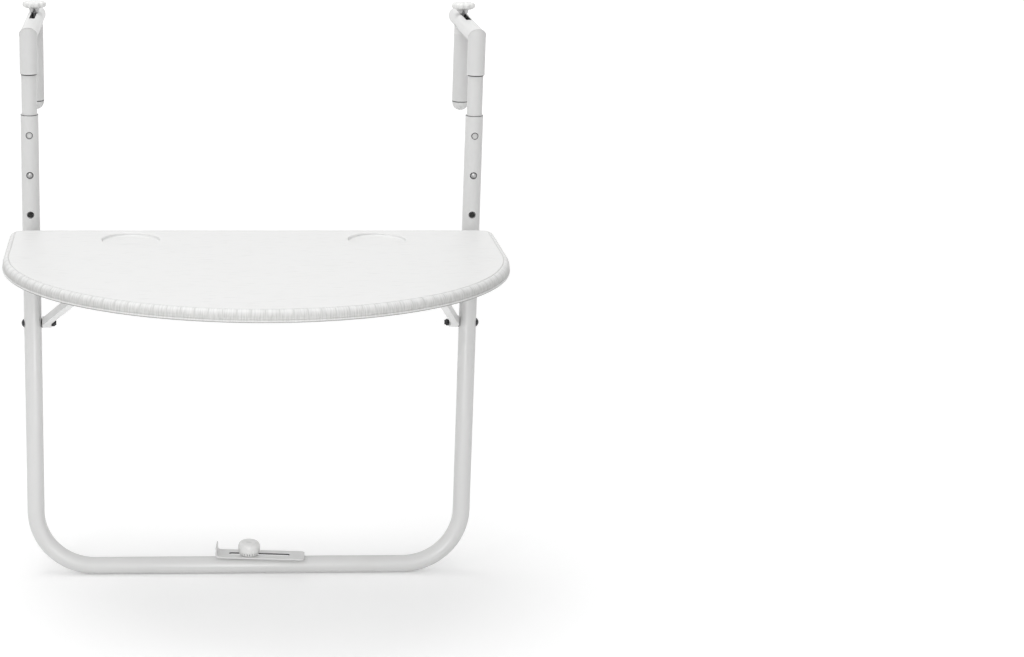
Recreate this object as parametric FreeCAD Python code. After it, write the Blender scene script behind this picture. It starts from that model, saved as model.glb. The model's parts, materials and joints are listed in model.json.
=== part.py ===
"""Folding bar table that hangs on a balcony railing.

Units are millimetres. +Z is up, the table reaches out along -Y and the railing lies on the +Y side.
The origin is on the middle plane, where the underside of the two hanging arms (Z = 0) meets the rear
face of the posts (Y = 0): the corner that sits on the top rail. Pieces of a pair are drawn on the +X
side and mirrored.
"""
import FreeCAD, Part
import os
from math import atan2, cos, degrees, hypot, pi, sin, sqrt

from FreeCAD import Placement, Rotation, Vector

X_AXIS = Vector(1, 0, 0)
Y_AXIS = Vector(0, 1, 0)
Z_AXIS = Vector(0, 0, 1)
PAST = 1.0               # cutting shapes run this far past a face
REACH = 100.0            # length of cutting shapes that clear everything near them

# Clearances
SEAT_GAP = 0.1           # between round faces that are fixed to each other
RUN_GAP = 0.1            # radial play of what turns in a bearing
SLIDE_GAP = 0.3          # between pieces that slide or swing past each other
SCREW_GAP = 0.1          # radial play of bolts and screws in their holes

# Steel tube of the posts, arms and hooks
TUBE_OD = 22.0
TUBE_WALL = 1.2
INNER_WALL = 1.2         # thinner tube that slides in the posts

# Lower frame, one tube bent to a U
POST_SPACING = 550.0     # between the axes of the posts
POST_HEIGHT = 594.0      # open top of a post to the axis of the bottom bar
BEND_RADIUS = 75.0       # on the tube's axis
LIP_ROUND = 0.5

# Height setting
HOLE_TOP = 25.0          # open top of a post to its first hole
HOLE_PITCH = 50.0
HOLE_COUNT = 3
SET_HOLE = 1             # the hole that the button stands in, counted from the top
BUTTON_R = 3.2
BUTTON_PROUD = 2.2
BUTTON_FLANGE_R = 4.5
BUTTON_FLANGE_T = 1.2
SPRING_T = 0.8
SPRING_WIDTH = 8.0
SPRING_LENGTH = 42.0

# Hanging arms
ELBOW_DROP = 97.0        # axis of an arm to the open top of its post
INNER_DROP = 203.0       # axis of an arm to the lower end of its inner post
INNER_TOP_DROP = 11.0    # axis of an arm to the upper end of its inner post
ARM_REACH = 181.0        # rear face of a post to the end of the arm's tube
ARM_CAP_RIM = 1.0
CAP_PLUG = 12.0
SLOT_START = 61.0        # rear face of a post to the near end of the slot
SLOT_LENGTH = 101.0
SLOT_WIDTH = 7.0

# Hooks that close on the rail from behind
HOOK_PLACE = 122.5       # rear face of a post to the hook's axis
SADDLE_DROP = 15.0       # axis of an arm to the lower edge of the saddle
HOOK_LENGTH = 87.5
HOOK_CAP_STEP = 0.4      # the cap is this much smaller than the tube, all round
HOOK_CAP_RIM = 2.0
STUD_R = 3.0
STUD_HEAD_WIDTH = 10.0
STUD_HEAD = 4.0
NECK_HEIGHT = 4.8
NECK_R_TOP = 6.9
NECK_R_FOOT = 5.8
NECK_SPIGOT = 5.0
NECK_SPIGOT_R = 5.0
KNOB_R = 15.0
KNOB_FOOT_R = 10.0
KNOB_FOOT = 2.0          # height of the knob's tapered foot
KNOB_HEIGHT = 9.7
KNOB_SHOULDER = 4.5
KNOB_LOBES = 10
KNOB_HOLLOW_R = 4.5      # hollows between the lobes
KNOB_HOLLOW = 0.9        # their depth

# Table top
TABLE_DROP = 237.5       # axis of an arm to the table's surface at the set hole
TABLE_OVERHANG = 25.0    # axis of a post to the side of the table
TABLE_DEPTH = 381.0
TABLE_SIDE = 129.0       # straight part of each side, from the back edge
TABLE_THICK = 14.0
CORNER_R = 18.0
SKIN = 3.0
RIM_WALL = 3.0
RIM_TOP_ROUND = 4.0
RIM_FOOT_ROUND = 2.5
RIB_T = 2.0
RIB_PITCH = 54.0
RIB_SHORT = 1.0          # ribs end this far above the rim's foot
CUP_R = 35.0
CUP_DEPTH = 4.0
CUP_X = 150.0
CUP_INSET = 54.0         # back edge to the centre of a recess for a glass
CUP_ROUND = 1.5
BOSS_R = 5.0

# Hinge of the table
CROSS_OD = 22.0
CROSS_WALL = 1.5
PLUG_LENGTH = 22.0
PLUG_BOLT = 16.0         # thread of the bolt inside the plug
LEAF_T = 2.0
LEAF_START = 30.0        # middle plane to the inner end of a bracket
LEAF_END_GAP = 6.0       # outer end of a bracket to the post
LEAF_REAR = 6.0          # hinge axis to the rear edge of a bracket
LEAF_DEPTH = 64.0
FLANGE_GAP = 1.0         # cross tube to the turned-down ends of a bracket
FLANGE_DROP = 18.5
FLANGE_RUN = 19.7
STRAP_T = 2.0
STRAP_WIDTH = 16.0
STRAP_INNER = 45.0       # inner end of a bracket to its inner strap
STRAP_OUTER = 12.0       # outer end of a bracket to its outer strap
STRAP_BOLT_GAP = 2.8     # bend of a strap to its bolt
STRAP_LEG_END = 4.6      # axis of the bolt to the end of the legs
STRAP_BOLT_R = 2.5
STRAP_HEAD_R = 4.0
STRAP_HEAD = 2.6
STRAP_HEAD_GAP = 0.6     # bolt head to the back edge of the table
STRAP_NUT_WIDTH = 8.0
STRAP_NUT_T = 4.0
SCREW_R = 2.0
SCREW_HEAD_R = 3.6
SCREW_HEAD = 2.0
SCREW_LENGTH = 9.0
SCREW_INNER = (15.0, 70.0)   # inner end of a bracket to its screws
SCREW_OUTER = (60.0, 14.0)   # outer end of a bracket to its screws
SCREW_Y = 52.0           # hinge axis to the row of bracket screws

# Bolts through the posts
BOLT_R = 3.0
BOLT_HEAD_R = 5.5
BOLT_HEAD = 3.2
NUT_WIDTH = 10.0
NUT_T = 4.0
BOLT_TIP = 1.6           # thread past a nut
WASHER_R = 7.5
WASHER_T = 1.2

# Braces
BRACE_DROP = 364.0       # axis of an arm to the brace pivot at the set hole
BRACE_REACH = 247.0      # pivot to the pin, along Y
BRACE_SLANT = 48.3       # pivot to the pin, along X
PIN_DROP = 8.7           # underside of the table to the pin's axis
PIN_R = 3.0
PIN_HEAD_R = 4.5
PIN_HEAD = 1.2
BRACE_WIDTH = 11.0
BRACE_HEIGHT = 12.0
BRACE_WALL = 1.5
LUG_LENGTH = 18.0        # straight part at each end, from the pivot or pin
WEB_START = 11.0         # pivot or pin to the channel's floor
BRACE_HOLE_PLACE = 14.0  # pivot to the small hole in the outer side
BRACE_HOLE_R = 1.5
CATCH_T = 4.0
CATCH_PLATE_T = 2.0
CATCH_PLATE_WIDTH = 20.0
CATCH_PLATE_LENGTH = 46.0
CATCH_SCREW_Y = 15.0
CATCH_REAR = 8.0         # pin's axis to the rear of the notched tab
CATCH_FRONT = 8.0
CATCH_LOBE_DROP = 4.0    # pin's axis to the lower end of the rear lobe

# Clamp on the bottom bar
CLAMP_TURN = -5.1        # degrees about +Z
CLAMP_WIDTH = 28.0
CLAMP_T = 2.0
CLAMP_LEFT = 43.0        # stud to the upturned flange
CLAMP_RIGHT = 72.0
CLAMP_FLANGE = 13.0
CLAMP_BEND = 3.0         # inside radius
CLAMP_CORNER = 5.0
CLAMP_SLOT_LEFT = 26.0
CLAMP_SLOT_RIGHT = 53.0
CLAMP_SLOT_WIDTH = 7.0
CLAMP_WASHER_R = 9.0
CLAMP_WASHER_T = 1.2
CLAMP_STUD_R = 3.0
CLAMP_NUT_T = 5.0
CLAMP_KNOB_R = 13.0
CLAMP_KNOB_HEIGHT = 16.5
CLAMP_KNOB_SKIRT = 4.5
CLAMP_TEETH = 24
CLAMP_TOOTH = 0.7
CLAMP_TOOTH_HEIGHT = 2.5
INSERT_R = 5.0
INSERT_LENGTH = 9.0

# Places that follow from the sizes
TUBE_R = TUBE_OD / 2
TUBE_BORE_R = TUBE_R - TUBE_WALL
INNER_R = TUBE_BORE_R - SLIDE_GAP
INNER_BORE_R = INNER_R - INNER_WALL
POST_X = POST_SPACING / 2
POST_Y = -TUBE_R
POST_INNER_X = POST_X - TUBE_R
ARM_Z = TUBE_R
POST_TOP_Z = ARM_Z - ELBOW_DROP
BAR_Z = POST_TOP_Z - POST_HEIGHT
BAR_TOP_Z = BAR_Z + TUBE_R
SLEEVE_END_Z = POST_TOP_Z + HOLE_PITCH + SLIDE_GAP
INNER_END_Z = ARM_Z - INNER_DROP
HOLE_R = BUTTON_R + SLIDE_GAP
BUTTON_Z = POST_TOP_Z - HOLE_TOP - SET_HOLE * HOLE_PITCH
BUTTON_FLANGE_Y = POST_Y - sqrt(INNER_BORE_R ** 2 - BUTTON_FLANGE_R ** 2) + SLIDE_GAP
HOOK_TOP_Z = ARM_Z - SADDLE_DROP
HOOK_END_Z = HOOK_TOP_Z - HOOK_LENGTH
STUD_HEAD_Z = HOOK_TOP_Z - CAP_PLUG - STUD_HEAD
NECK_Z = ARM_Z + TUBE_R + SLIDE_GAP
KNOB_Z = NECK_Z + NECK_HEIGHT
STUD_TOP_Z = KNOB_Z + NECK_SPIGOT
TABLE_Z = ARM_Z - TABLE_DROP
UNDER_Z = TABLE_Z - TABLE_THICK
CROSS_R = CROSS_OD / 2
STRAP_R = CROSS_R + RUN_GAP
HINGE_Z = UNDER_Z - LEAF_T - STRAP_T - STRAP_R
STRAP_BOLT_Y = POST_Y - STRAP_R - STRAP_BOLT_GAP - STRAP_BOLT_R
TABLE_BACK = STRAP_BOLT_Y - STRAP_HEAD_R - STRAP_HEAD_GAP
CUP_Y = TABLE_BACK - CUP_INSET
LEAF_END = POST_INNER_X - LEAF_END_GAP
STRAP_XS = (LEAF_START + STRAP_INNER, LEAF_END - STRAP_OUTER)
SCREW_XS = [LEAF_START + x for x in SCREW_INNER] + [LEAF_END - x for x in SCREW_OUTER]
BRACE_X = POST_INNER_X - SEAT_GAP - WASHER_T - SLIDE_GAP - BRACE_WIDTH / 2
BRACE_Z = ARM_Z - BRACE_DROP
BRACE_NUT_X = BRACE_X - BRACE_WIDTH / 2 - SLIDE_GAP - NUT_T
PIN_X = BRACE_X - BRACE_SLANT
PIN_Y = POST_Y - BRACE_REACH
PIN_Z = UNDER_Z - PIN_DROP
BRACE_RISE = PIN_Z - BRACE_Z
BRACE_LENGTH = hypot(BRACE_REACH, BRACE_RISE)
BRACE_TILT = degrees(atan2(BRACE_RISE, BRACE_REACH))
CLAMP_Z = BAR_TOP_Z + SLIDE_GAP + CLAMP_WASHER_T + SLIDE_GAP
CLAMP_KNOB_Z = CLAMP_Z + CLAMP_T + SLIDE_GAP


def cylinder(radius, length, start, direction=Z_AXIS):
    """Solid round bar from start along direction."""
    return Part.makeCylinder(radius, length, start, direction)


def pipe(outer_r, bore_r, length, start, direction=Z_AXIS):
    """Round tube from start along direction."""
    bore = cylinder(bore_r, length + 2 * PAST, start - direction * PAST, direction)
    return cylinder(outer_r, length, start, direction).cut(bore)


def box(low, high):
    """Box between two corners."""
    size = high - low
    return Part.makeBox(size.x, size.y, size.z, low)


def polygon(points, thickness):
    """Flat plate with the given corners, pushed along thickness."""
    return Part.Face(Part.makePolygon(list(points) + [points[0]])).extrude(thickness)


def stadium(start, end, radius, thickness):
    """Plate with round ends about start and end, in their plane square to thickness."""
    along = (end - start).normalize() * radius
    side = thickness.cross(along).normalize() * radius
    edges = [
        Part.makeLine(start + side, end + side),
        Part.Arc(end + side, end + along, end - side).toShape(),
        Part.makeLine(end - side, start - side),
        Part.Arc(start - side, start - along, start + side).toShape(),
    ]
    return Part.Face(Part.Wire(edges)).extrude(thickness)


def hexagon(width, length, start, direction=Z_AXIS):
    """Hexagonal bar of the given width over its flats."""
    corner = width / sqrt(3)
    turns = [pi * k / 3 for k in range(6)]
    bar = polygon([Vector(corner * cos(t), corner * sin(t), 0) for t in turns], Z_AXIS * length)
    bar.Placement = Placement(start, Rotation(Z_AXIS, direction))
    return bar


def nut(width, length, thread_r, start, direction=Z_AXIS):
    """Hexagon nut on a thread."""
    hole = cylinder(thread_r + SEAT_GAP / 2, length, start, direction)
    return hexagon(width, length, start, direction).cut(hole)


def dome(radius, height, start, direction=Z_AXIS):
    """Low domed cap that stands on start."""
    sphere_r = (radius ** 2 + height ** 2) / (2 * height)
    sphere = Part.makeSphere(sphere_r, Z_AXIS * (height - sphere_r))
    solid = sphere.common(cylinder(radius, height, Vector(0, 0, 0)))
    solid.Placement = Placement(start, Rotation(Z_AXIS, direction))
    return solid


def ring_of(count, distance):
    """Places evenly round the Z axis."""
    turns = [2 * pi * k / count for k in range(count)]
    return [Vector(distance * cos(t), distance * sin(t), 0) for t in turns]


def moved(shape, x, y, z):
    """Copy of a shape, shifted."""
    copy = shape.copy()
    copy.translate(Vector(x, y, z))
    return copy


def fused(first, *others):
    """One solid from shapes that touch or overlap."""
    return first.fuse(list(others)).removeSplitter()


def mirrored(shape):
    """The same piece on the other side of the middle plane."""
    return shape.mirror(Vector(0, 0, 0), X_AXIS)


def both_sides(shapes):
    """The given pieces and their mirror images, as separate solids of one node."""
    return Part.makeCompound(list(shapes) + [mirrored(shape) for shape in shapes])


def write(name, shape):
    """Save one node."""
    shape.exportStep(os.path.join("parts", name + ".step"))


def write_pair(name, right_shape):
    """Save a piece of the +X side and its mirror image."""
    write(name + "_right", right_shape)
    write(name + "_left", mirrored(right_shape))


# Lower frame

def frame_path():
    """Axis of the bent frame tube, from the left post's top to the right post's top."""
    low = BAR_Z + BEND_RADIUS
    inner = POST_X - BEND_RADIUS
    bow = BEND_RADIUS * sin(pi / 4)
    tops = [Vector(side * POST_X, POST_Y, POST_TOP_Z) for side in (-1, 1)]
    bends = [Vector(side * POST_X, POST_Y, low) for side in (-1, 1)]
    middles = [Vector(side * (inner + bow), POST_Y, low - bow) for side in (-1, 1)]
    feet = [Vector(side * inner, POST_Y, BAR_Z) for side in (-1, 1)]
    return Part.Wire([
        Part.makeLine(tops[0], bends[0]),
        Part.Arc(bends[0], middles[0], feet[0]).toShape(),
        Part.makeLine(feet[0], feet[1]),
        Part.Arc(feet[1], middles[1], bends[1]).toShape(),
        Part.makeLine(bends[1], tops[1]),
    ])


def swept(path, radius):
    """Round bar along the frame's axis."""
    ring = Part.Wire(Part.makeCircle(radius, Vector(-POST_X, POST_Y, POST_TOP_Z), Z_AXIS))
    return path.makePipeShell([ring], True, False)


def edges_at(shape, z):
    """Edges that lie flat at the given height."""
    limit = SEAT_GAP / 10
    return [e for e in shape.Edges if abs(e.BoundBox.ZMin - z) < limit and abs(e.BoundBox.ZMax - z) < limit]


def frame_tube():
    """U-shaped tube with its setting holes, its bolt holes and the hole for the clamp's stud."""
    path = frame_path()
    bar = swept(path, TUBE_R)
    bar = bar.makeFillet(LIP_ROUND, edges_at(bar, POST_TOP_Z))
    cuts = [swept(path, TUBE_BORE_R)]
    for side in (-1, 1):
        for k in range(HOLE_COUNT):
            z = POST_TOP_Z - HOLE_TOP - k * HOLE_PITCH
            cuts.append(cylinder(HOLE_R, TUBE_OD, Vector(side * POST_X, POST_Y, z), -Y_AXIS))
        for z in (HINGE_Z, BRACE_Z):
            start = Vector(side * POST_X - TUBE_OD, POST_Y, z)
            cuts.append(cylinder(BOLT_R + SCREW_GAP, 2 * TUBE_OD, start, X_AXIS))
    cuts.append(cylinder(CLAMP_STUD_R + SCREW_GAP, TUBE_OD, Vector(0, POST_Y, BAR_Z)))
    return bar.cut(cuts)


def post_bolt(inner_x, z):
    """Bolt through the right post, from its domed head to inner_x."""
    seat = POST_X + TUBE_R + SEAT_GAP
    shank = cylinder(BOLT_R, seat - inner_x, Vector(inner_x, POST_Y, z), X_AXIS)
    return fused(shank, dome(BOLT_HEAD_R, BOLT_HEAD, Vector(seat, POST_Y, z), X_AXIS))


def cross_tube():
    """Tube between the posts that the table's straps turn on, with ends shaped to the posts."""
    start = Vector(-POST_X, POST_Y, HINGE_Z)
    tube = pipe(CROSS_R, CROSS_R - CROSS_WALL, POST_SPACING, start, X_AXIS)
    low = HINGE_Z - REACH / 2
    return tube.cut([cylinder(TUBE_R + SEAT_GAP, REACH, Vector(x, POST_Y, low)) for x in (-POST_X, POST_X)])


def tube_plug():
    """Threaded plug in the right end of the cross tube."""
    start = Vector(POST_INNER_X - SEAT_GAP - PLUG_LENGTH, POST_Y, HINGE_Z)
    return pipe(CROSS_R - CROSS_WALL - SEAT_GAP / 2, BOLT_R + SEAT_GAP / 2, PLUG_LENGTH, start, X_AXIS)


def tube_bolt():
    """Bolt through the right post into the cross tube's plug."""
    return post_bolt(POST_INNER_X - PLUG_BOLT, HINGE_Z)


def brace_washer():
    """Plastic washer between the right post and its brace."""
    start = Vector(POST_INNER_X - SEAT_GAP - WASHER_T, POST_Y, BRACE_Z)
    return pipe(WASHER_R, BOLT_R + SCREW_GAP, WASHER_T, start, X_AXIS)


def brace_bolt():
    """Pivot bolt of the right brace."""
    return post_bolt(BRACE_NUT_X - BOLT_TIP, BRACE_Z)


def brace_nut():
    """Lock nut on the pivot bolt of the right brace."""
    return nut(NUT_WIDTH, NUT_T, BOLT_R, Vector(BRACE_NUT_X, POST_Y, BRACE_Z), X_AXIS)


# Hanging arms

def mitre_side(direction):
    """Block on one side of the elbow's mitre plane."""
    block = Part.makeBox(REACH, REACH, REACH, Vector(-REACH / 2, -REACH / 2, 0))
    block.Placement = Placement(Vector(POST_X, POST_Y, ARM_Z), Rotation(Z_AXIS, direction))
    return block


def arm_tube():
    """Hanging arm with the slot for its hook, mitred at the elbow."""
    start = Vector(POST_X, POST_Y - TUBE_R, ARM_Z)
    tube = pipe(TUBE_R, TUBE_BORE_R, ARM_REACH + TUBE_OD, start, Y_AXIS)
    near = Vector(POST_X, SLOT_START + SLOT_WIDTH / 2, ARM_Z - TUBE_OD)
    far = near + Y_AXIS * (SLOT_LENGTH - SLOT_WIDTH)
    slot = stadium(near, far, SLOT_WIDTH / 2, Z_AXIS * 2 * TUBE_OD)
    return tube.cut([slot, mitre_side(Vector(0, -1, -1))])


def arm_sleeve():
    """Short upright tube of the elbow that stands over the post."""
    start = Vector(POST_X, POST_Y, SLEEVE_END_Z)
    tube = pipe(TUBE_R, INNER_R + SEAT_GAP, ARM_Z + TUBE_R - SLEEVE_END_Z, start)
    return tube.cut(mitre_side(Vector(0, 1, 1)))


def inner_post():
    """Thin tube that slides in the post, with the hole for the button."""
    length = INNER_DROP - INNER_TOP_DROP
    tube = pipe(INNER_R, INNER_BORE_R, length, Vector(POST_X, POST_Y, INNER_END_Z))
    return tube.cut(cylinder(HOLE_R, TUBE_R, Vector(POST_X, POST_Y, BUTTON_Z), -Y_AXIS))


def height_button():
    """Button that locks the arm, with the flange that keeps it inside."""
    back = Vector(POST_X, BUTTON_FLANGE_Y + BUTTON_FLANGE_T, BUTTON_Z)
    length = back.y - (POST_Y - TUBE_R)
    flange = cylinder(BUTTON_FLANGE_R, BUTTON_FLANGE_T, back, -Y_AXIS)
    stem = cylinder(BUTTON_R, length, back, -Y_AXIS)
    return fused(flange, stem, dome(BUTTON_R, BUTTON_PROUD, back - Y_AXIS * length, -Y_AXIS))


def height_spring():
    """V-shaped leaf spring that pushes the button out."""
    front = BUTTON_FLANGE_Y + BUTTON_FLANGE_T + SEAT_GAP
    rear = POST_Y + sqrt(INNER_BORE_R ** 2 - (SPRING_WIDTH / 2) ** 2) - SEAT_GAP
    low = BUTTON_Z - BUTTON_FLANGE_R
    flat = BUTTON_Z + BUTTON_FLANGE_R
    top = low + SPRING_LENGTH
    middle = (front + rear) / 2
    inside_top = top - 4 * SPRING_T
    profile = [
        (front, low), (front, flat), (middle - SPRING_T, top), (middle + SPRING_T, top), (rear, flat),
        (rear, low), (rear - SPRING_T, low), (rear - SPRING_T, flat), (middle, inside_top),
        (front + SPRING_T, flat), (front + SPRING_T, low),
    ]
    left = POST_X - SPRING_WIDTH / 2
    return polygon([Vector(left, y, z) for y, z in profile], X_AXIS * SPRING_WIDTH)


def end_cap(radius, rim):
    """Domed plastic cap with its plug, seated on the plane Z = 0 with its dome upwards."""
    ball = dome(radius, radius, Z_AXIS * rim)
    plug = cylinder(TUBE_BORE_R - SEAT_GAP, CAP_PLUG, Z_AXIS * -CAP_PLUG)
    return fused(cylinder(radius, rim, Vector(0, 0, 0)), ball, plug)


def arm_cap():
    """Cap on the end of the arm."""
    cap = end_cap(TUBE_R, ARM_CAP_RIM)
    cap.Placement = Placement(Vector(POST_X, ARM_REACH, ARM_Z), Rotation(Z_AXIS, Y_AXIS))
    return cap


# Hooks

def hook_saddle():
    """Plastic collar that rides under the arm and plugs into the hook's tube."""
    body = cylinder(TUBE_R, SADDLE_DROP, Vector(POST_X, HOOK_PLACE, HOOK_TOP_Z))
    plug = cylinder(TUBE_BORE_R - SEAT_GAP, CAP_PLUG, Vector(POST_X, HOOK_PLACE, HOOK_TOP_Z - CAP_PLUG))
    arm = cylinder(TUBE_R + SLIDE_GAP, REACH, Vector(POST_X, HOOK_PLACE - REACH / 2, ARM_Z), Y_AXIS)
    bore = cylinder(STUD_R + SEAT_GAP / 2, REACH, Vector(POST_X, HOOK_PLACE, HOOK_TOP_Z - REACH / 2))
    return fused(body, plug).cut([arm, bore])


def hook_tube():
    """Straight tube that hangs behind the rail."""
    return pipe(TUBE_R, TUBE_BORE_R, HOOK_LENGTH, Vector(POST_X, HOOK_PLACE, HOOK_END_Z))


def hook_cap():
    """Cap on the lower end of the hook."""
    cap = end_cap(TUBE_R - HOOK_CAP_STEP, HOOK_CAP_RIM)
    cap.Placement = Placement(Vector(POST_X, HOOK_PLACE, HOOK_END_Z), Rotation(X_AXIS, 180))
    return cap


def hook_stud():
    """Stud from below the saddle up through the arm's slot into the knob."""
    head = hexagon(STUD_HEAD_WIDTH, STUD_HEAD, Vector(POST_X, HOOK_PLACE, STUD_HEAD_Z))
    start = Vector(POST_X, HOOK_PLACE, STUD_HEAD_Z)
    return fused(head, cylinder(STUD_R, STUD_TOP_Z - STUD_HEAD_Z, start))


def knob_neck():
    """Metal neck that carries the knob's thread."""
    cone = Part.makeCone(NECK_R_FOOT, NECK_R_TOP, NECK_HEIGHT)
    body = fused(cone, cylinder(NECK_SPIGOT_R, NECK_HEIGHT + NECK_SPIGOT, Vector(0, 0, 0)))
    bore = cylinder(STUD_R + RUN_GAP, NECK_HEIGHT + NECK_SPIGOT, Vector(0, 0, 0))
    return moved(body.cut(bore), POST_X, HOOK_PLACE, NECK_Z)


def knob():
    """Lobed plastic knob that tightens the hook."""
    crown = cylinder(KNOB_R, KNOB_HEIGHT - KNOB_FOOT, Z_AXIS * KNOB_FOOT)
    crown = crown.makeFillet(KNOB_SHOULDER, edges_at(crown, KNOB_HEIGHT))
    body = fused(crown, Part.makeCone(KNOB_FOOT_R, KNOB_R, KNOB_FOOT))
    cuts = [cylinder(NECK_SPIGOT_R + SEAT_GAP, NECK_SPIGOT + SLIDE_GAP, Vector(0, 0, 0))]
    for place in ring_of(KNOB_LOBES, KNOB_R + KNOB_HOLLOW_R - KNOB_HOLLOW):
        cuts.append(cylinder(KNOB_HOLLOW_R, KNOB_HEIGHT + 2 * PAST, place - Z_AXIS * PAST))
    return moved(body.cut(cuts), POST_X, HOOK_PLACE, KNOB_Z)


# Table top

def round_front(half, depth, centre):
    """Half oval of the table's front, from the right side to the left."""
    right = centre + X_AXIS * half
    front = centre - Y_AXIS * depth
    if half > depth:
        return Part.Ellipse(right, front, centre).toShape(0, pi)
    return Part.Ellipse(front, centre - X_AXIS * half, centre).toShape(-pi / 2, pi / 2)


def table_block(inset, z, height):
    """Block in the table's plan, drawn in all round by inset: straight back and sides, round front."""
    half = POST_X + TABLE_OVERHANG - inset
    back = TABLE_BACK - inset
    corner = CORNER_R - inset
    bow = corner * (1 - sin(pi / 4))
    oval_y = TABLE_BACK - TABLE_SIDE
    edges = [round_front(half, TABLE_DEPTH - TABLE_SIDE - inset, Vector(0, oval_y, z))]
    for side in (-1, 1):
        low = Vector(side * half, oval_y, z)
        high = Vector(side * half, back - corner, z)
        turn = Vector(side * (half - bow), back - bow, z)
        edges.append(Part.makeLine(low, high))
        edges.append(Part.Arc(high, turn, Vector(side * (half - corner), back, z)).toShape())
    edges.append(Part.makeLine(Vector(corner - half, back, z), Vector(half - corner, back, z)))
    return Part.Face(Part.Wire(Part.__sortEdges__(edges))).extrude(Z_AXIS * height)


def screw_places():
    """Plan positions of all screws in the table's underside."""
    places = [(x, POST_Y - SCREW_Y) for x in SCREW_XS]
    places += [(PIN_X, PIN_Y + y) for y in (-CATCH_SCREW_Y, CATCH_SCREW_Y)]
    return places + [(-x, y) for x, y in places]


def table_ribs():
    """Stiffening ribs and screw bosses under the table's skin."""
    low = UNDER_Z + RIB_SHORT
    skin_z = TABLE_Z - SKIN
    half = POST_X + TABLE_OVERHANG
    front = TABLE_BACK - TABLE_DEPTH
    across = int(half / RIB_PITCH)
    pieces = []
    for k in range(-across, across + 1):
        x = k * RIB_PITCH - RIB_T / 2
        pieces.append(box(Vector(x, front, low), Vector(x + RIB_T, TABLE_BACK, skin_z)))
    for k in range(1, int(TABLE_DEPTH / RIB_PITCH) + 1):
        y = TABLE_BACK - k * RIB_PITCH - RIB_T / 2
        pieces.append(box(Vector(-half, y, low), Vector(half, y + RIB_T, skin_z)))
    cup_floor = TABLE_Z - CUP_DEPTH - SKIN
    for x in (-CUP_X, CUP_X):
        pieces.append(cylinder(CUP_R + SKIN, skin_z - cup_floor, Vector(x, CUP_Y, cup_floor)))
    for x, y in screw_places():
        pieces.append(cylinder(BOSS_R, skin_z - UNDER_Z, Vector(x, y, UNDER_Z)))
    return pieces


def table_top():
    """Moulded top: thin skin, rim turned down, ribs below and two recesses for glasses."""
    slab = table_block(0.0, UNDER_Z, TABLE_THICK)
    slab = slab.makeFillet(RIM_TOP_ROUND, edges_at(slab, TABLE_Z))
    slab = slab.makeFillet(RIM_FOOT_ROUND, edges_at(slab, UNDER_Z))
    hollow = table_block(RIM_WALL, UNDER_Z - PAST, TABLE_THICK - SKIN + PAST)
    cuts = [hollow.cut(table_ribs())]
    for x in (-CUP_X, CUP_X):
        cup = cylinder(CUP_R, CUP_DEPTH + PAST, Vector(x, CUP_Y, TABLE_Z - CUP_DEPTH))
        cuts.append(cup.makeFillet(CUP_ROUND, edges_at(cup, TABLE_Z - CUP_DEPTH)))
    for x, y in screw_places():
        cuts.append(cylinder(SCREW_R + SCREW_GAP, SCREW_LENGTH, Vector(x, y, UNDER_Z - PAST)))
    for cut in cuts:
        slab = slab.cut(cut)
    return slab


def screw_hole(x, y, radius):
    """Upright hole through the plates under the table."""
    return cylinder(radius, REACH, Vector(x, y, UNDER_Z - REACH / 2))


def hinge_bracket():
    """Steel leaf under the table's back edge, with a turned-down flange at each end."""
    rear = POST_Y - LEAF_REAR
    low = UNDER_Z - LEAF_T
    leaf = box(Vector(LEAF_START, rear - LEAF_DEPTH, low), Vector(LEAF_END, rear, UNDER_Z))
    flange_y = POST_Y - CROSS_R - FLANGE_GAP
    flanges = []
    for x in (LEAF_START, LEAF_END - LEAF_T):
        foot = Vector(x, flange_y, low - FLANGE_DROP)
        corners = [Vector(x, flange_y, low), foot, Vector(x, flange_y - FLANGE_RUN, low)]
        flanges.append(polygon(corners, X_AXIS * LEAF_T))
    holes = [screw_hole(x, STRAP_BOLT_Y, STRAP_BOLT_R + SCREW_GAP) for x in STRAP_XS]
    holes += [screw_hole(x, POST_Y - SCREW_Y, SCREW_R + SCREW_GAP) for x in SCREW_XS]
    return fused(leaf, *flanges).cut(holes)


def hinge_strap(x):
    """Strap bent round the cross tube, with two legs that a bolt draws against the leaf."""
    outer = STRAP_R + STRAP_T
    left = x - STRAP_WIDTH / 2
    ring = pipe(outer, STRAP_R, STRAP_WIDTH, Vector(left, POST_Y, HINGE_Z), X_AXIS)
    front = box(Vector(left - PAST, POST_Y - REACH, HINGE_Z - REACH),
                Vector(left + STRAP_WIDTH + PAST, POST_Y, HINGE_Z + REACH))
    end = STRAP_BOLT_Y - STRAP_LEG_END
    legs = [box(Vector(left, end, HINGE_Z + z), Vector(left + STRAP_WIDTH, POST_Y, HINGE_Z + z + STRAP_T))
            for z in (STRAP_R, -outer)]
    return fused(ring.cut(front), *legs).cut(screw_hole(x, STRAP_BOLT_Y, STRAP_BOLT_R + SCREW_GAP))


def strap_bolt(x):
    """Domed bolt down through the leaf and both legs of a strap."""
    place = Vector(x, STRAP_BOLT_Y, UNDER_Z)
    length = LEAF_T + 2 * (STRAP_R + STRAP_T) + STRAP_NUT_T + BOLT_TIP
    return fused(dome(STRAP_HEAD_R, STRAP_HEAD, place), cylinder(STRAP_BOLT_R, length, place, -Z_AXIS))


def strap_nut(x):
    """Nut below a strap."""
    start = Vector(x, STRAP_BOLT_Y, HINGE_Z - STRAP_R - STRAP_T - STRAP_NUT_T)
    return nut(STRAP_NUT_WIDTH, STRAP_NUT_T, STRAP_BOLT_R, start)


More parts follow.
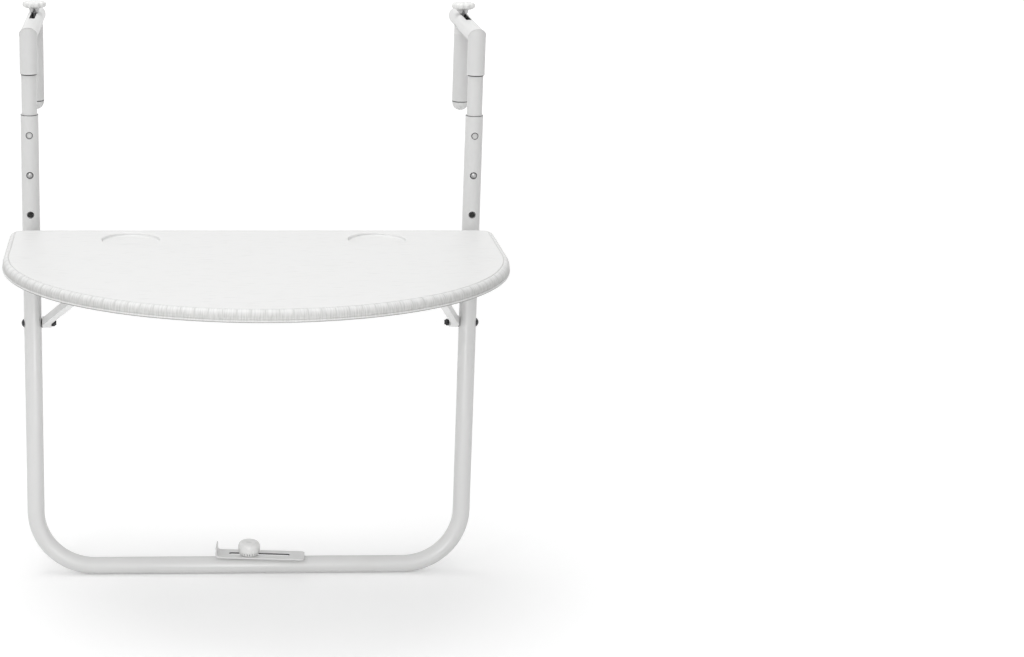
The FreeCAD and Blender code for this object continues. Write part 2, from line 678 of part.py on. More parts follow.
def table_screw(x, y, plate):
    """Screw up through a plate of the given thickness into one of the table's bosses."""
    seat = Vector(x, y, UNDER_Z - plate)
    return fused(dome(SCREW_HEAD_R, SCREW_HEAD, seat, -Z_AXIS), cylinder(SCREW_R, SCREW_LENGTH, seat))


# Braces

def brace_bar(half_width):
    """Slanted bar of the brace, drawn along -Y from its pivot, with straight ends."""
    past = BRACE_HEIGHT
    centre = [(0, past), (0, -LUG_LENGTH), (-BRACE_SLANT, LUG_LENGTH - BRACE_LENGTH),
              (-BRACE_SLANT, -BRACE_LENGTH - past)]
    right = [Vector(x + half_width, y, -BRACE_HEIGHT) for x, y in centre]
    left = [Vector(x - half_width, y, -BRACE_HEIGHT) for x, y in reversed(centre)]
    return polygon(right + left, Z_AXIS * 2 * BRACE_HEIGHT)


def brace():
    """Channel with a floor and two sides, from the post's bolt to the pin under the table."""
    half = BRACE_WIDTH / 2
    inside = brace_bar(half - BRACE_WALL)
    side_start = Vector(-REACH, 0, 0)
    side_plan = stadium(side_start, side_start - Y_AXIS * BRACE_LENGTH, BRACE_HEIGHT / 2, X_AXIS * 2 * REACH)
    sides = brace_bar(half).cut(inside).common(side_plan)
    floor_z = -BRACE_HEIGHT / 2
    floor_low = Vector(-REACH, WEB_START - BRACE_LENGTH, floor_z)
    floor_high = Vector(REACH, -WEB_START, floor_z + BRACE_WALL)
    floor = brace_bar(half - BRACE_WALL / 2).common(box(floor_low, floor_high))
    pivot = cylinder(BOLT_R + RUN_GAP, REACH, Vector(-REACH / 2, 0, 0), X_AXIS)
    pin = cylinder(PIN_R + SEAT_GAP / 2, 2 * REACH, Vector(-REACH, -BRACE_LENGTH, 0), X_AXIS)
    small_hole = cylinder(BRACE_HOLE_R, REACH, Vector(0, -BRACE_HOLE_PLACE, 0), X_AXIS)
    shape = fused(sides, floor).cut([pivot, pin, small_hole])
    shape.Placement = Placement(Vector(BRACE_X, POST_Y, BRACE_Z), Rotation(X_AXIS, -BRACE_TILT))
    return shape


def brace_pin():
    """Pin riveted across the brace's outer end."""
    head = PIN_HEAD - SEAT_GAP / 2
    seat = BRACE_WIDTH / 2 + SEAT_GAP / 2
    shank = cylinder(PIN_R, 2 * seat, Vector(PIN_X - seat, PIN_Y, PIN_Z), X_AXIS)
    heads = [cylinder(PIN_HEAD_R, head, Vector(PIN_X + side * seat, PIN_Y, PIN_Z), X_AXIS * side)
             for side in (-1, 1)]
    return fused(shank, *heads)


def pin_way():
    """Direction in which the pin leaves its catch as the table starts to fold."""
    brace_step = Vector(0, -BRACE_RISE, -BRACE_REACH) * (90 + BRACE_TILT) / 90
    table_step = Vector(0, HINGE_Z - PIN_Z, -BRACE_REACH)
    return (brace_step - table_step).normalize()


def brace_catch():
    """Screwed plate with the notched tab that the brace's pin bears on."""
    low = UNDER_Z - CATCH_PLATE_T
    foot = PIN_Z - CATCH_LOBE_DROP
    plate_half = Vector(CATCH_PLATE_WIDTH / 2, CATCH_PLATE_LENGTH / 2, 0)
    plate_low = Vector(PIN_X, PIN_Y, low)
    plate = box(plate_low - plate_half, plate_low + plate_half + Z_AXIS * CATCH_PLATE_T)
    left = PIN_X - CATCH_T / 2
    tab = box(Vector(left, PIN_Y - CATCH_FRONT, foot), Vector(left + CATCH_T, PIN_Y + CATCH_REAR, low))
    seat = Vector(PIN_X - CATCH_T, PIN_Y, PIN_Z)
    way_out = stadium(seat, seat + pin_way() * REACH, PIN_R + SLIDE_GAP, X_AXIS * 2 * CATCH_T)
    below = box(Vector(seat.x, PIN_Y - REACH, PIN_Z - REACH), Vector(seat.x + 2 * CATCH_T, PIN_Y, PIN_Z))
    holes = [screw_hole(PIN_X, PIN_Y + y, SCREW_R + SCREW_GAP) for y in (-CATCH_SCREW_Y, CATCH_SCREW_Y)]
    return fused(plate, tab.cut([way_out, below])).cut(holes)


# Clamp on the bottom bar

def clamp_plate():
    """Slotted plate with an upturned end, turned a little about the stud."""
    half = CLAMP_WIDTH / 2
    bend = CLAMP_BEND + CLAMP_T
    bend_x = bend - CLAMP_LEFT
    flat = box(Vector(bend_x, -half, 0), Vector(CLAMP_RIGHT, half, CLAMP_T))
    corners = [e for e in flat.Edges if e.BoundBox.XMin > 0 and e.BoundBox.ZLength > CLAMP_T / 2]
    flat = flat.makeFillet(CLAMP_CORNER, corners)
    flange = box(Vector(-CLAMP_LEFT, -half, bend), Vector(CLAMP_T - CLAMP_LEFT, half, CLAMP_FLANGE))
    ring = pipe(bend, CLAMP_BEND, CLAMP_WIDTH, Vector(bend_x, -half, bend), Y_AXIS)
    corner = ring.common(box(Vector(-CLAMP_LEFT, -half, 0), Vector(bend_x, half, bend)))
    near = Vector(CLAMP_SLOT_WIDTH / 2 - CLAMP_SLOT_LEFT, 0, -PAST)
    far = Vector(CLAMP_SLOT_RIGHT - CLAMP_SLOT_WIDTH / 2, 0, -PAST)
    slot = stadium(near, far, CLAMP_SLOT_WIDTH / 2, Z_AXIS * (CLAMP_T + 2 * PAST))
    plate = fused(flat, flange, corner).cut(slot)
    plate.Placement = Placement(Vector(0, POST_Y, CLAMP_Z), Rotation(Z_AXIS, CLAMP_TURN))
    return plate


def clamp_washer():
    """Plastic washer between the bar and the plate."""
    start = Vector(0, POST_Y, BAR_TOP_Z + SLIDE_GAP)
    return pipe(CLAMP_WASHER_R, CLAMP_STUD_R + RUN_GAP, CLAMP_WASHER_T, start)


def clamp_stud():
    """Stud that stands on the bottom bar."""
    length = CLAMP_KNOB_Z + INSERT_LENGTH - SLIDE_GAP - BAR_Z
    return cylinder(CLAMP_STUD_R, length, Vector(0, POST_Y, BAR_Z))


def clamp_nut():
    """Nut inside the bar, which holds the stud."""
    corner = NUT_WIDTH / sqrt(3)
    top = BAR_Z + sqrt(TUBE_BORE_R ** 2 - corner ** 2) - SEAT_GAP
    return nut(NUT_WIDTH, CLAMP_NUT_T, CLAMP_STUD_R, Vector(0, POST_Y, top - CLAMP_NUT_T))


def clamp_knob():
    """Domed knob with a toothed lower edge."""
    skirt = cylinder(CLAMP_KNOB_R, CLAMP_KNOB_SKIRT, Vector(0, 0, 0))
    crown = dome(CLAMP_KNOB_R, CLAMP_KNOB_HEIGHT - CLAMP_KNOB_SKIRT, Z_AXIS * CLAMP_KNOB_SKIRT)
    cuts = [cylinder(INSERT_R + SEAT_GAP / 2, INSERT_LENGTH + SEAT_GAP, Vector(0, 0, 0))]
    tooth_r = pi * CLAMP_KNOB_R / CLAMP_TEETH / 2
    for place in ring_of(CLAMP_TEETH, CLAMP_KNOB_R + tooth_r - CLAMP_TOOTH):
        cuts.append(cylinder(tooth_r, CLAMP_TOOTH_HEIGHT + PAST, place - Z_AXIS * PAST))
    return moved(fused(skirt, crown).cut(cuts), 0, POST_Y, CLAMP_KNOB_Z)


def clamp_insert():
    """Threaded metal insert in the clamp's knob."""
    return pipe(INSERT_R, CLAMP_STUD_R + RUN_GAP, INSERT_LENGTH, Vector(0, POST_Y, CLAMP_KNOB_Z))


def main():
    """Write every node."""
    os.makedirs("parts", exist_ok=True)
    write("frame_tube", frame_tube())
    write("cross_tube", cross_tube())
    write_pair("tube_plug", tube_plug())
    write("tube_bolts", both_sides([tube_bolt()]))
    write("brace_bolts", both_sides([brace_bolt()]))
    write("brace_nuts", both_sides([brace_nut()]))
    write("brace_washers", both_sides([brace_washer()]))
    write("clamp_stud", clamp_stud())
    write("clamp_nut", clamp_nut())
    write_pair("arm_tube", arm_tube())
    write_pair("arm_sleeve", arm_sleeve())
    write_pair("inner_post", inner_post())
    write_pair("arm_cap", arm_cap())
    write_pair("height_button", height_button())
    write_pair("height_spring", height_spring())
    write_pair("hook_saddle", hook_saddle())
    write_pair("hook_tube", hook_tube())
    write_pair("hook_cap", hook_cap())
    write_pair("hook_stud", hook_stud())
    write_pair("knob_neck", knob_neck())
    write_pair("knob", knob())
    write("table_top", table_top())
    write_pair("hinge_bracket", hinge_bracket())
    write("hinge_straps", both_sides([hinge_strap(x) for x in STRAP_XS]))
    write("strap_bolts", both_sides([strap_bolt(x) for x in STRAP_XS]))
    write("strap_nuts", both_sides([strap_nut(x) for x in STRAP_XS]))
    write("bracket_screws", both_sides([table_screw(x, POST_Y - SCREW_Y, LEAF_T) for x in SCREW_XS]))
    write_pair("brace", brace())
    write_pair("brace_pin", brace_pin())
    write_pair("brace_catch", brace_catch())
    catch_screw_ys = (PIN_Y - CATCH_SCREW_Y, PIN_Y + CATCH_SCREW_Y)
    write("catch_screws", both_sides([table_screw(PIN_X, y, CATCH_PLATE_T) for y in catch_screw_ys]))
    write("clamp_plate", clamp_plate())
    write("clamp_washer", clamp_washer())
    write("clamp_knob", clamp_knob())
    write("clamp_insert", clamp_insert())


main()
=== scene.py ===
"""Looks of a balcony railing bar table: moulded top, knobs, welds and finishes, with stage, lamps and camera.

Lengths are metres, +Z is up, the table reaches out along -Y and the railing lies on the +Y side.
"""

from __future__ import annotations

import json
import logging
import math
from contextlib import contextmanager
from dataclasses import dataclass, replace
from enum import Enum
from typing import Callable, Iterator, Mapping, Optional, Sequence, Union

import bmesh
import bpy
from mathutils import Matrix, Vector

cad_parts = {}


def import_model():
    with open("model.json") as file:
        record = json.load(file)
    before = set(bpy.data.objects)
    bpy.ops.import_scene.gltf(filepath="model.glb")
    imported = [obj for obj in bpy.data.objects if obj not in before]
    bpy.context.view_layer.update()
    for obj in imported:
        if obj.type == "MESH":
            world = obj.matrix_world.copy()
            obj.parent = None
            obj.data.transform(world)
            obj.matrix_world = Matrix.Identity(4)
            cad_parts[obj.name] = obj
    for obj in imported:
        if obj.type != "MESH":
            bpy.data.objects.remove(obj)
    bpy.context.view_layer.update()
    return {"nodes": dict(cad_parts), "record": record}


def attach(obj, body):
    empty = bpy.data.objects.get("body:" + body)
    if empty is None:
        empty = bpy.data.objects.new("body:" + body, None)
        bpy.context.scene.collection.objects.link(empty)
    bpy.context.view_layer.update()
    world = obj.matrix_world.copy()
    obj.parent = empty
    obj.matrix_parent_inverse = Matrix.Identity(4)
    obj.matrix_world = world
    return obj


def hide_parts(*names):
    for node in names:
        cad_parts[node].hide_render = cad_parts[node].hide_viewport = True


LOG = logging.getLogger("balcony_table")

Color = tuple[float, float, float]
Point = tuple[float, float, float]
Range = tuple[float, float]
Profile = Sequence[tuple[float, float]]
Key = Union[str, int]
Sockets = dict[Key, object]

POST_X = 0.275
POST_Y = -0.011
HOOK_Y = 0.1225
TABLE_Z = -0.2265
PIVOT_Z = -0.353
CUP_X = 0.150
CUP_Y = -0.086
TUBE_RADIUS = 0.011
SMOOTH_ANGLE = 32.0
MERGE = 1e-6
LEVEL = 1e-5
ALONG_START = 2.0


class Side(Enum):
    """Side of the table, with the sign of its X."""

    LEFT = -1
    RIGHT = 1

    @property
    def word(self) -> str:
        """Ending of this side's node names."""
        return self.name.lower()


class Slot(Enum):
    """Material slots of the part."""

    WHITE_STEEL = "white_steel"
    MOULDED_TOP = "moulded_top"
    WHITE_PLASTIC = "white_plastic"
    WHITE_KNOB = "white_knob"
    BOLT_STEEL = "bolt_steel"
    ZINC_STEEL = "zinc_steel"
    BLACK_PLASTIC = "black_plastic"
    BRASS_INSERT = "brass_insert"


# Shader maths


class Wire:
    """A socket's value, on which Python's operators add Math nodes."""

    def __init__(self, graph: Graph, socket: Optional[bpy.types.NodeSocket]) -> None:
        """Holds the socket.

        Args:
            graph: The material's graph.
            socket: An output socket of one of its nodes, or None where the node has none.
        """
        self.graph = graph
        self.socket = socket

    def __add__(self, other: Number) -> Wire:
        """This plus other."""
        return self.graph.math("ADD", self, other)

    def __radd__(self, other: float) -> Wire:
        """Other plus this."""
        return self.graph.math("ADD", other, self)

    def __sub__(self, other: Number) -> Wire:
        """This less other."""
        return self.graph.math("SUBTRACT", self, other)

    def __rsub__(self, other: float) -> Wire:
        """Other less this."""
        return self.graph.math("SUBTRACT", other, self)

    def __mul__(self, other: Number) -> Wire:
        """This times other."""
        return self.graph.math("MULTIPLY", self, other)

    def __rmul__(self, other: float) -> Wire:
        """Other times this."""
        return self.graph.math("MULTIPLY", other, self)

    def clamped(self) -> Wire:
        """This, kept from 0 to 1."""
        return self.graph.node("ShaderNodeClamp", {}, {"Value": self})


Number = Union[Wire, float]


@dataclass(frozen=True)
class Cloud:
    """A cloudy noise.

    Attributes:
        scale: Patches a metre.
        detail: Octaves.
        stretch: How much finer it is along X, Y and Z.
        distortion: How far it is warped.
    """

    scale: float
    detail: float
    stretch: Point = (1.0, 1.0, 1.0)
    distortion: float = 0.0


class Graph:
    """The node tree of one material or world."""

    def __init__(self, tree: bpy.types.NodeTree) -> None:
        """Empties the tree.

        Args:
            tree: The tree to fill.
        """
        self.tree = tree
        self.tree.nodes.clear()

    def node(
        self, kind: str, settings: Mapping[str, object], values: Mapping[Key, object], output: Key = 0
    ) -> Wire:
        """Adds a node.

        Args:
            kind: The node's type.
            settings: Its properties, set first.
            values: Its sockets, by name or place, each a wire or a value.
            output: The output that is wanted, by name or place.

        Returns:
            The wire of that output.
        """
        made = self.tree.nodes.new(kind)
        for key, value in settings.items():
            setattr(made, key, value)
        for key, value in values.items():
            socket = self._socket(made.inputs, key)
            if isinstance(value, Wire):
                self.tree.links.new(value.socket, socket)
            else:
                socket.default_value = value
        return Wire(self, self._socket(made.outputs, output) if made.outputs else None)

    @staticmethod
    def _socket(sockets: Sequence[bpy.types.NodeSocket], key: Key) -> bpy.types.NodeSocket:
        """Finds a socket that is in use.

        Args:
            sockets: A node's inputs or outputs.
            key: The socket's name, or its place among those in use.

        Returns:
            The socket.
        """
        used = [s for s in sockets if s.enabled]
        return used[key] if isinstance(key, int) else next(s for s in used if s.name == key)

    def math(self, operation: str, *values: Number) -> Wire:
        """Adds a Math node."""
        return self.node("ShaderNodeMath", {"operation": operation}, dict(enumerate(values)))

    def vector(self, operation: str, *values: object, output: Key = 0) -> Wire:
        """Adds a Vector Math node."""
        return self.node("ShaderNodeVectorMath", {"operation": operation}, dict(enumerate(values)), output)

    def part(self, vector: Wire, axis: str) -> Wire:
        """One of a vector's parts, by the letter of its axis."""
        return self.node("ShaderNodeSeparateXYZ", {}, {"Vector": vector}, axis)

    def attribute(self, name: str) -> Wire:
        """A number that the mesh's corners hold."""
        return self.node("ShaderNodeAttribute", {"attribute_name": name}, {}, "Fac")

    def between(self, value: Wire, low: float, high: float) -> Wire:
        """Eases from 0 where value is low to 1 where it is high."""
        ends = {"Value": value, "From Min": low, "From Max": high}
        return self.node("ShaderNodeMapRange", {"interpolation_type": "SMOOTHSTEP"}, ends)

    def place(self, scale: Point = (1.0, 1.0, 1.0)) -> Wire:
        """Object coordinates, in metres, stretched by scale."""
        point = self.node("ShaderNodeTexCoord", {}, {}, "Object")
        return self.node("ShaderNodeMapping", {}, {"Vector": point, "Scale": scale})

    def noise(self, cloud: Cloud, place: Optional[Wire] = None) -> Wire:
        """Adds a noise.

        Args:
            cloud: What it is like.
            place: Where it is read, if not at the object coordinates.

        Returns:
            A wire near 0.5.
        """
        vector = self.place(cloud.stretch) if place is None else place
        values = {"Scale": cloud.scale, "Detail": cloud.detail, "Distortion": cloud.distortion}
        return self.node("ShaderNodeTexNoise", {}, {"Vector": vector, **values})

    def blend(self, factor: Number, first: Union[Wire, Color], second: Union[Wire, Color]) -> Wire:
        """Mixes two colours.

        Args:
            factor: 0 gives first, 1 gives second.
            first: A colour.
            second: A colour.

        Returns:
            The mixed colour.
        """
        start, end = (c if isinstance(c, Wire) else (*c, 1.0) for c in (first, second))
        return self.node("ShaderNodeMix", {"data_type": "RGBA"}, {"Factor": factor, "A": start, "B": end})

    def bump(self, height: Wire, depth: float) -> Wire:
        """Normal of a relief from 0 to 1, which stands for depth in metres."""
        return self.node("ShaderNodeBump", {}, {"Height": height, "Distance": depth})


# Finishes


@dataclass(frozen=True)
class Coating:
    """A finish: a material with one Principled shader.

    Attributes:
        title: The material's name.
    """

    title: str

    def material(self) -> bpy.types.Material:
        """Makes the material.

        Returns:
            The new material.
        """
        material = bpy.data.materials.new(self.title)
        material.use_nodes = True
        graph = Graph(material.node_tree)
        shader = graph.node("ShaderNodeBsdfPrincipled", {}, self._surface(graph))
        graph.node("ShaderNodeOutputMaterial", {}, {"Surface": shader})
        return material

    def _surface(self, graph: Graph) -> Sockets:
        """Values of the shader's sockets, which each kind of finish gives."""
        raise NotImplementedError

    @staticmethod
    def _varied(cloud: Wire, middle: float, spread: float) -> Wire:
        """A roughness about middle that varies with a noise."""
        return cloud * spread + (middle - spread / 2)


@dataclass(frozen=True)
class PowderCoat(Coating):
    """White powder coating on metal, with orange peel and faint dust."""

    title: str = Slot.WHITE_STEEL.value
    color: Color = (0.695, 0.695, 0.69)
    dust: Color = (0.63, 0.63, 0.62)
    cloud: Cloud = Cloud(9.0, 4.0)
    cloud_range: Range = (0.52, 0.74)
    cloud_dust: float = 0.35
    speck: Cloud = Cloud(260.0, 3.0)
    speck_range: Range = (0.66, 0.74)
    speck_dust: float = 0.25
    peel: Cloud = Cloud(420.0, 3.0)
    peel_depth: float = 0.00003
    roughness: float = 0.34
    spread: float = 0.12
    coat: float = 0.15
    coat_roughness: float = 0.18

    def _surface(self, graph: Graph) -> Sockets:
        """Coating that is a little darker and duller where dust lies.

        Args:
            graph: The material's graph.

        Returns:
            The shader's sockets.
        """
        cloud = graph.noise(self.cloud)
        speck = graph.between(graph.noise(self.speck), *self.speck_range)
        dusty = graph.between(cloud, *self.cloud_range) * self.cloud_dust + speck * self.speck_dust
        return {
            "Base Color": graph.blend(dusty, self.color, self.dust),
            "Roughness": self._varied(cloud, self.roughness, self.spread),
            "Coat Weight": self.coat,
            "Coat Roughness": self.coat_roughness,
            "Normal": graph.bump(graph.noise(self.peel), self.peel_depth),
        }


@dataclass(frozen=True)
class PartlyBare(PowderCoat):
    """The same coating, with near-black painted shade in one place."""

    steel: Color = (0.035, 0.035, 0.035)

    def _bare(self, graph: Graph) -> Wire:
        """1 where shade is painted, which each kind says."""
        raise NotImplementedError

    def _surface(self, graph: Graph) -> Sockets:
        """The coating with the painted shade's colour put in.

        Args:
            graph: The material's graph.

        Returns:
            The shader's sockets.
        """
        sockets = super()._surface(graph)
        sockets["Base Color"] = graph.blend(self._bare(graph), sockets["Base Color"], self.steel)
        return sockets


@dataclass(frozen=True)
class BareBore(PartlyBare):
    """The coating of a hanging arm, with near-black painted shade inside the tube."""

    title: str = "white_steel_tube"
    axis_x: float = POST_X
    axis_z: float = TUBE_RADIUS
    bore: float = 0.0098
    edge: Range = (0.0001, 0.0004)

    def _bare(self, graph: Graph) -> Wire:
        """Finds the inside of the tube by the distance from its axis.

        Args:
            graph: The material's graph.

        Returns:
            1 inside the tube, 0 outside.
        """
        point = graph.place()
        across = graph.math("ABSOLUTE", graph.part(point, "X")) - self.axis_x
        up = graph.part(point, "Z") - self.axis_z
        distance = graph.math("SQRT", across * across + up * up)
        low, high = self.edge
        return 1.0 - graph.between(distance, self.bore + low, self.bore + high)


@dataclass(frozen=True)
class BareSlot(PartlyBare):
    """The coating of the clamp's plate, with near-black painted shade on the walls of its slot."""

    title: str = "white_steel_plate"
    steel: Color = (0.05, 0.05, 0.05)
    stud: Point = (0.0, POST_Y, 0.0)
    turn: float = math.radians(5.1)
    half_width: float = 0.0042
    top_z: float = -0.6652
    edge: float = 0.0003
    flush: float = 0.0001

    def _bare(self, graph: Graph) -> Wire:
        """Finds the slot along the plate's middle, below its upper face.

        Args:
            graph: The material's graph.

        Returns:
            1 in the slot, 0 elsewhere.
        """
        centred = graph.vector("SUBTRACT", graph.place(), self.stud)
        turned = graph.node("ShaderNodeMapping", {}, {"Vector": centred, "Rotation": (0.0, 0.0, self.turn)})
        across = graph.math("ABSOLUTE", graph.part(turned, "Y"))
        near = 1.0 - graph.between(across, self.half_width, self.half_width + self.edge)
        low, high = self.top_z - self.edge, self.top_z - self.flush
        return near * (1.0 - graph.between(graph.part(turned, "Z"), low, high))


@dataclass(frozen=True)
class MouldedGrain(Coating):
    """White moulded plastic with a faint wood grain along X on the flat, and fine strands on the rim.

    Heights are measured from the table's surface. The mesh says with its attribute "along" where the rim is,
    and with "groove" where painted shade lies in its creases (1) and where its foot's painted shadow is (2).
    """

    title: str = Slot.MOULDED_TOP.value
    color: Color = (0.76, 0.76, 0.755)
    pore: Color = (0.665, 0.665, 0.66)
    # These four colours are painted shade: the first for creases, the next two for the rim's lower side, the
    # last for the painted shadow at its foot.
    crease: Color = (0.56, 0.56, 0.55)
    under: Color = (0.63, 0.63, 0.62)
    under_crease: Color = (0.48, 0.48, 0.47)
    foot: Color = (0.16, 0.16, 0.155)
    warp_noise: Cloud = Cloud(6.0, 2.0, (3.0, 3.0, 3.0))
    grain_noise: Cloud = Cloud(55.0, 5.0, (1.0, 7.0, 7.0), 0.6)
    pore_noise: Cloud = Cloud(42.0, 2.0, (1.0, 10.0, 10.0))
    skin_noise: Cloud = Cloud(900.0, 2.0)
    strand_noise: Cloud = Cloud(1.0, 3.0, distortion=0.3)
    strand_width: float = 0.0016
    strand_rows: float = 60.0
    warp_range: Range = (0.5, 0.8)
    pore_range: Range = (0.60, 0.70)
    strand_range: Range = (0.40, 0.62)
    warp_shade: float = 0.10
    pore_shade: float = 0.55
    strand_shade: float = 0.8
    grain_relief: float = 0.8
    pore_relief: float = 0.9
    strand_relief: float = 2.0
    skin_relief: float = 0.12
    relief_depth: float = 0.00012
    roughness: float = 0.42
    spread: float = 0.14
    table_z: float = TABLE_Z
    level_band: Range = (-0.0001, -0.00002)
    # Height bands of the painted shade on the rim's lower side, and of where it ends above the lip.
    side_band: Range = (-0.0004, -0.0075)
    foot_band: Range = (-0.0113, -0.0107)
    rim_range: Range = (0.5, 0.6)
    cup: Point = (CUP_X, -CUP_Y, 0.0)
    cup_edge: float = 0.0370
    cup_blur: float = 0.0005

    def _flat(self, graph: Graph, height: Wire) -> Wire:
        """Tells the flat and the recesses from the rim.

        Args:
            graph: The material's graph.
            height: Height above the origin.

        Returns:
            1 on the flat and in the recesses, 0 elsewhere.
        """
        mirrored = graph.vector("ABSOLUTE", graph.place((1.0, 1.0, 0.0)))
        off_cup = graph.vector("DISTANCE", mirrored, self.cup, output="Value")
        outside = graph.between(off_cup, self.cup_edge, self.cup_edge + self.cup_blur)
        return graph.math("MAXIMUM", self._band(graph, height, self.level_band), 1.0 - outside)

    def _band(self, graph: Graph, height: Wire, band: Range) -> Wire:
        """0 at a band's first height and 1 at its second."""
        return graph.between(height, *(self.table_z + edge for edge in band))

    def _surface(self, graph: Graph) -> Sockets:
        """Grain and pores on the flat, strands on the rim, and painted shade in its creases, on its lower
        side and at its foot.

        Args:
            graph: The material's graph.

        Returns:
            The shader's sockets.
        """
        height = graph.part(graph.place(), "Z")
        along, groove = graph.attribute("along"), graph.attribute("groove")
        flat = self._flat(graph, height)
        rim = (1.0 - flat) * graph.between(along, *self.rim_range)
        warp = graph.between(graph.noise(self.warp_noise), *self.warp_range)
        grain = graph.noise(self.grain_noise)
        ticks = graph.between(graph.noise(self.pore_noise), *self.pore_range) * flat
        lines = {"X": along * (1.0 / self.strand_width), "Y": height * self.strand_rows}
        strands = graph.noise(self.strand_noise, graph.node("ShaderNodeCombineXYZ", {}, lines))
        relief = (grain * self.grain_relief - ticks * self.pore_relief) * flat
        relief = relief + strands * rim * self.strand_relief + graph.noise(self.skin_noise) * self.skin_relief
        shade = ticks * self.pore_shade + warp * self.warp_shade
        shade = shade + graph.between(strands, *self.strand_range) * rim * self.strand_shade
        # Painted shade: the rim gets darker towards its lower side, ending just above the lip.
        low = self._band(graph, height, self.side_band) * rim * self._band(graph, height, self.foot_band)
        crest = graph.blend(low, self.color, self.under)
        body = graph.blend(shade.clamped(), crest, graph.blend(low, self.pore, self.under_crease))
        # Painted shade in the creases, where groove reaches 1.
        body = graph.blend(groove.clamped(), body, self.crease)
        return {
            # Painted shadow at the foot, where groove is 2.
            "Base Color": graph.blend((groove - 1.0).clamped(), body, self.foot),
            "Roughness": self._varied(grain, self.roughness, self.spread),
            "Normal": graph.bump(relief, self.relief_depth),
        }


@dataclass(frozen=True)
class MouldedPlastic(Coating):
    """Plain moulded plastic with a fine mould texture, and painted shade where the attribute "groove" is 1.
    """

    color: Color
    roughness: float
    coat: float = 0.0
    # Colour of the painted shade in the gaps between a knob's teeth.
    gap: Color = (0.22, 0.22, 0.215)
    cloud: Cloud = Cloud(40.0, 3.0)
    worn: float = 0.92
    worn_range: Range = (0.45, 0.75)
    worn_share: float = 0.5
    spread: float = 0.12
    skin: Cloud = Cloud(700.0, 3.0)
    skin_depth: float = 0.00002

    def _surface(self, graph: Graph) -> Sockets:
        """Plastic that is worn in places.

        Args:
            graph: The material's graph.

        Returns:
            The shader's sockets.
        """
        cloud = graph.noise(self.cloud)
        worn = tuple(self.worn * c for c in self.color)
        body = graph.blend(graph.between(cloud, *self.worn_range) * self.worn_share, self.color, worn)
        return {
            # Painted shade where groove is 1.
            "Base Color": graph.blend(graph.attribute("groove").clamped(), body, self.gap),
            "Roughness": self._varied(cloud, self.roughness, self.spread),
            "Coat Weight": self.coat,
            "Normal": graph.bump(graph.noise(self.skin), self.skin_depth),
        }


@dataclass(frozen=True)
class BareMetal(Coating):
    """Plated or bare metal, with fine turning marks and slight tarnish."""

    color: Color
    roughness: float
    tarnish: Color
    cloud: Cloud = Cloud(180.0, 3.0)
    tarnish_range: Range = (0.50, 0.75)
    tarnish_share: float = 0.6
    spread: float = 0.10
    marks: Cloud = Cloud(500.0, 2.0, (1.0, 1.0, 6.0))
    mark_depth: float = 0.00001

    def _surface(self, graph: Graph) -> Sockets:
        """Metal that is tarnished in places.

        Args:
            graph: The material's graph.

        Returns:
            The shader's sockets.
        """
        cloud = graph.noise(self.cloud)
        tarnished = graph.between(cloud, *self.tarnish_range) * self.tarnish_share
        return {
            "Base Color": graph.blend(tarnished, self.color, self.tarnish),
            "Metallic": 1.0,
            "Roughness": self._varied(cloud, self.roughness, self.spread),
            "Normal": graph.bump(graph.noise(self.marks), self.mark_depth),
        }


class Palette:
    """The part's materials, by name: one for each slot, and two for pieces with painted shade."""

    open_tube = BareBore()
    slotted_plate = BareSlot()

    def __init__(self) -> None:
        """Makes the materials."""
        finishes = (
            PowderCoat(),
            MouldedGrain(),
            MouldedPlastic(Slot.WHITE_PLASTIC.value, (0.76, 0.76, 0.755), 0.45),
            MouldedPlastic(Slot.WHITE_KNOB.value, (0.78, 0.78, 0.77), 0.28, coat=0.3),
            # The bolt metal is near black: on the chrome bolt heads it is a painted reflection of dark
            # surroundings.
            BareMetal(Slot.BOLT_STEEL.value, (0.06, 0.06, 0.063), 0.13, (0.03, 0.03, 0.03)),
            BareMetal(Slot.ZINC_STEEL.value, (0.46, 0.46, 0.46), 0.38, (0.34, 0.34, 0.33)),
            MouldedPlastic(Slot.BLACK_PLASTIC.value, (0.022, 0.022, 0.022), 0.55),
            BareMetal(Slot.BRASS_INSERT.value, (0.72, 0.52, 0.22), 0.32, (0.48, 0.34, 0.15)),
            self.open_tube,
            self.slotted_plate,
        )
        self._materials = {finish.title: finish.material() for finish in finishes}

    def coat(self, piece: bpy.types.Object, title: str) -> None:
        """Gives a piece the material of that name all over."""
        piece.data.materials.clear()
        piece.data.materials.append(self._materials[title])


# Modelling


def quarter_turn(steps: int) -> list[float]:
    """Angles from 0 to 90 degrees in equal steps, in radians."""
    return [math.radians(90.0 * step / steps) for step in range(steps + 1)]


def in_metres(rows: Profile) -> list[tuple[float, float]]:
    """Pairs of a radius and a height that are given in millimetres."""
    return [(radius / 1000, height / 1000) for radius, height in rows]


def deselect() -> None:
    """Leaves object mode's selection empty."""
    bpy.ops.object.select_all(action="DESELECT")


def activate(piece: bpy.types.Object) -> None:
    """Makes a piece the only selected one and the active one.

    Args:
        piece: An object.
    """
    deselect()
    piece.select_set(True)
    bpy.context.view_layer.objects.active = piece


@contextmanager
def editing(piece: bpy.types.Object) -> Iterator[None]:
    """Opens a piece in edit mode and closes it again.

    Args:
        piece: A mesh object.

    Yields:
        Nothing, with the piece open.
    """
    activate(piece)
    bpy.ops.object.mode_set(mode="EDIT")
    yield
    bpy.ops.object.mode_set(mode="OBJECT")


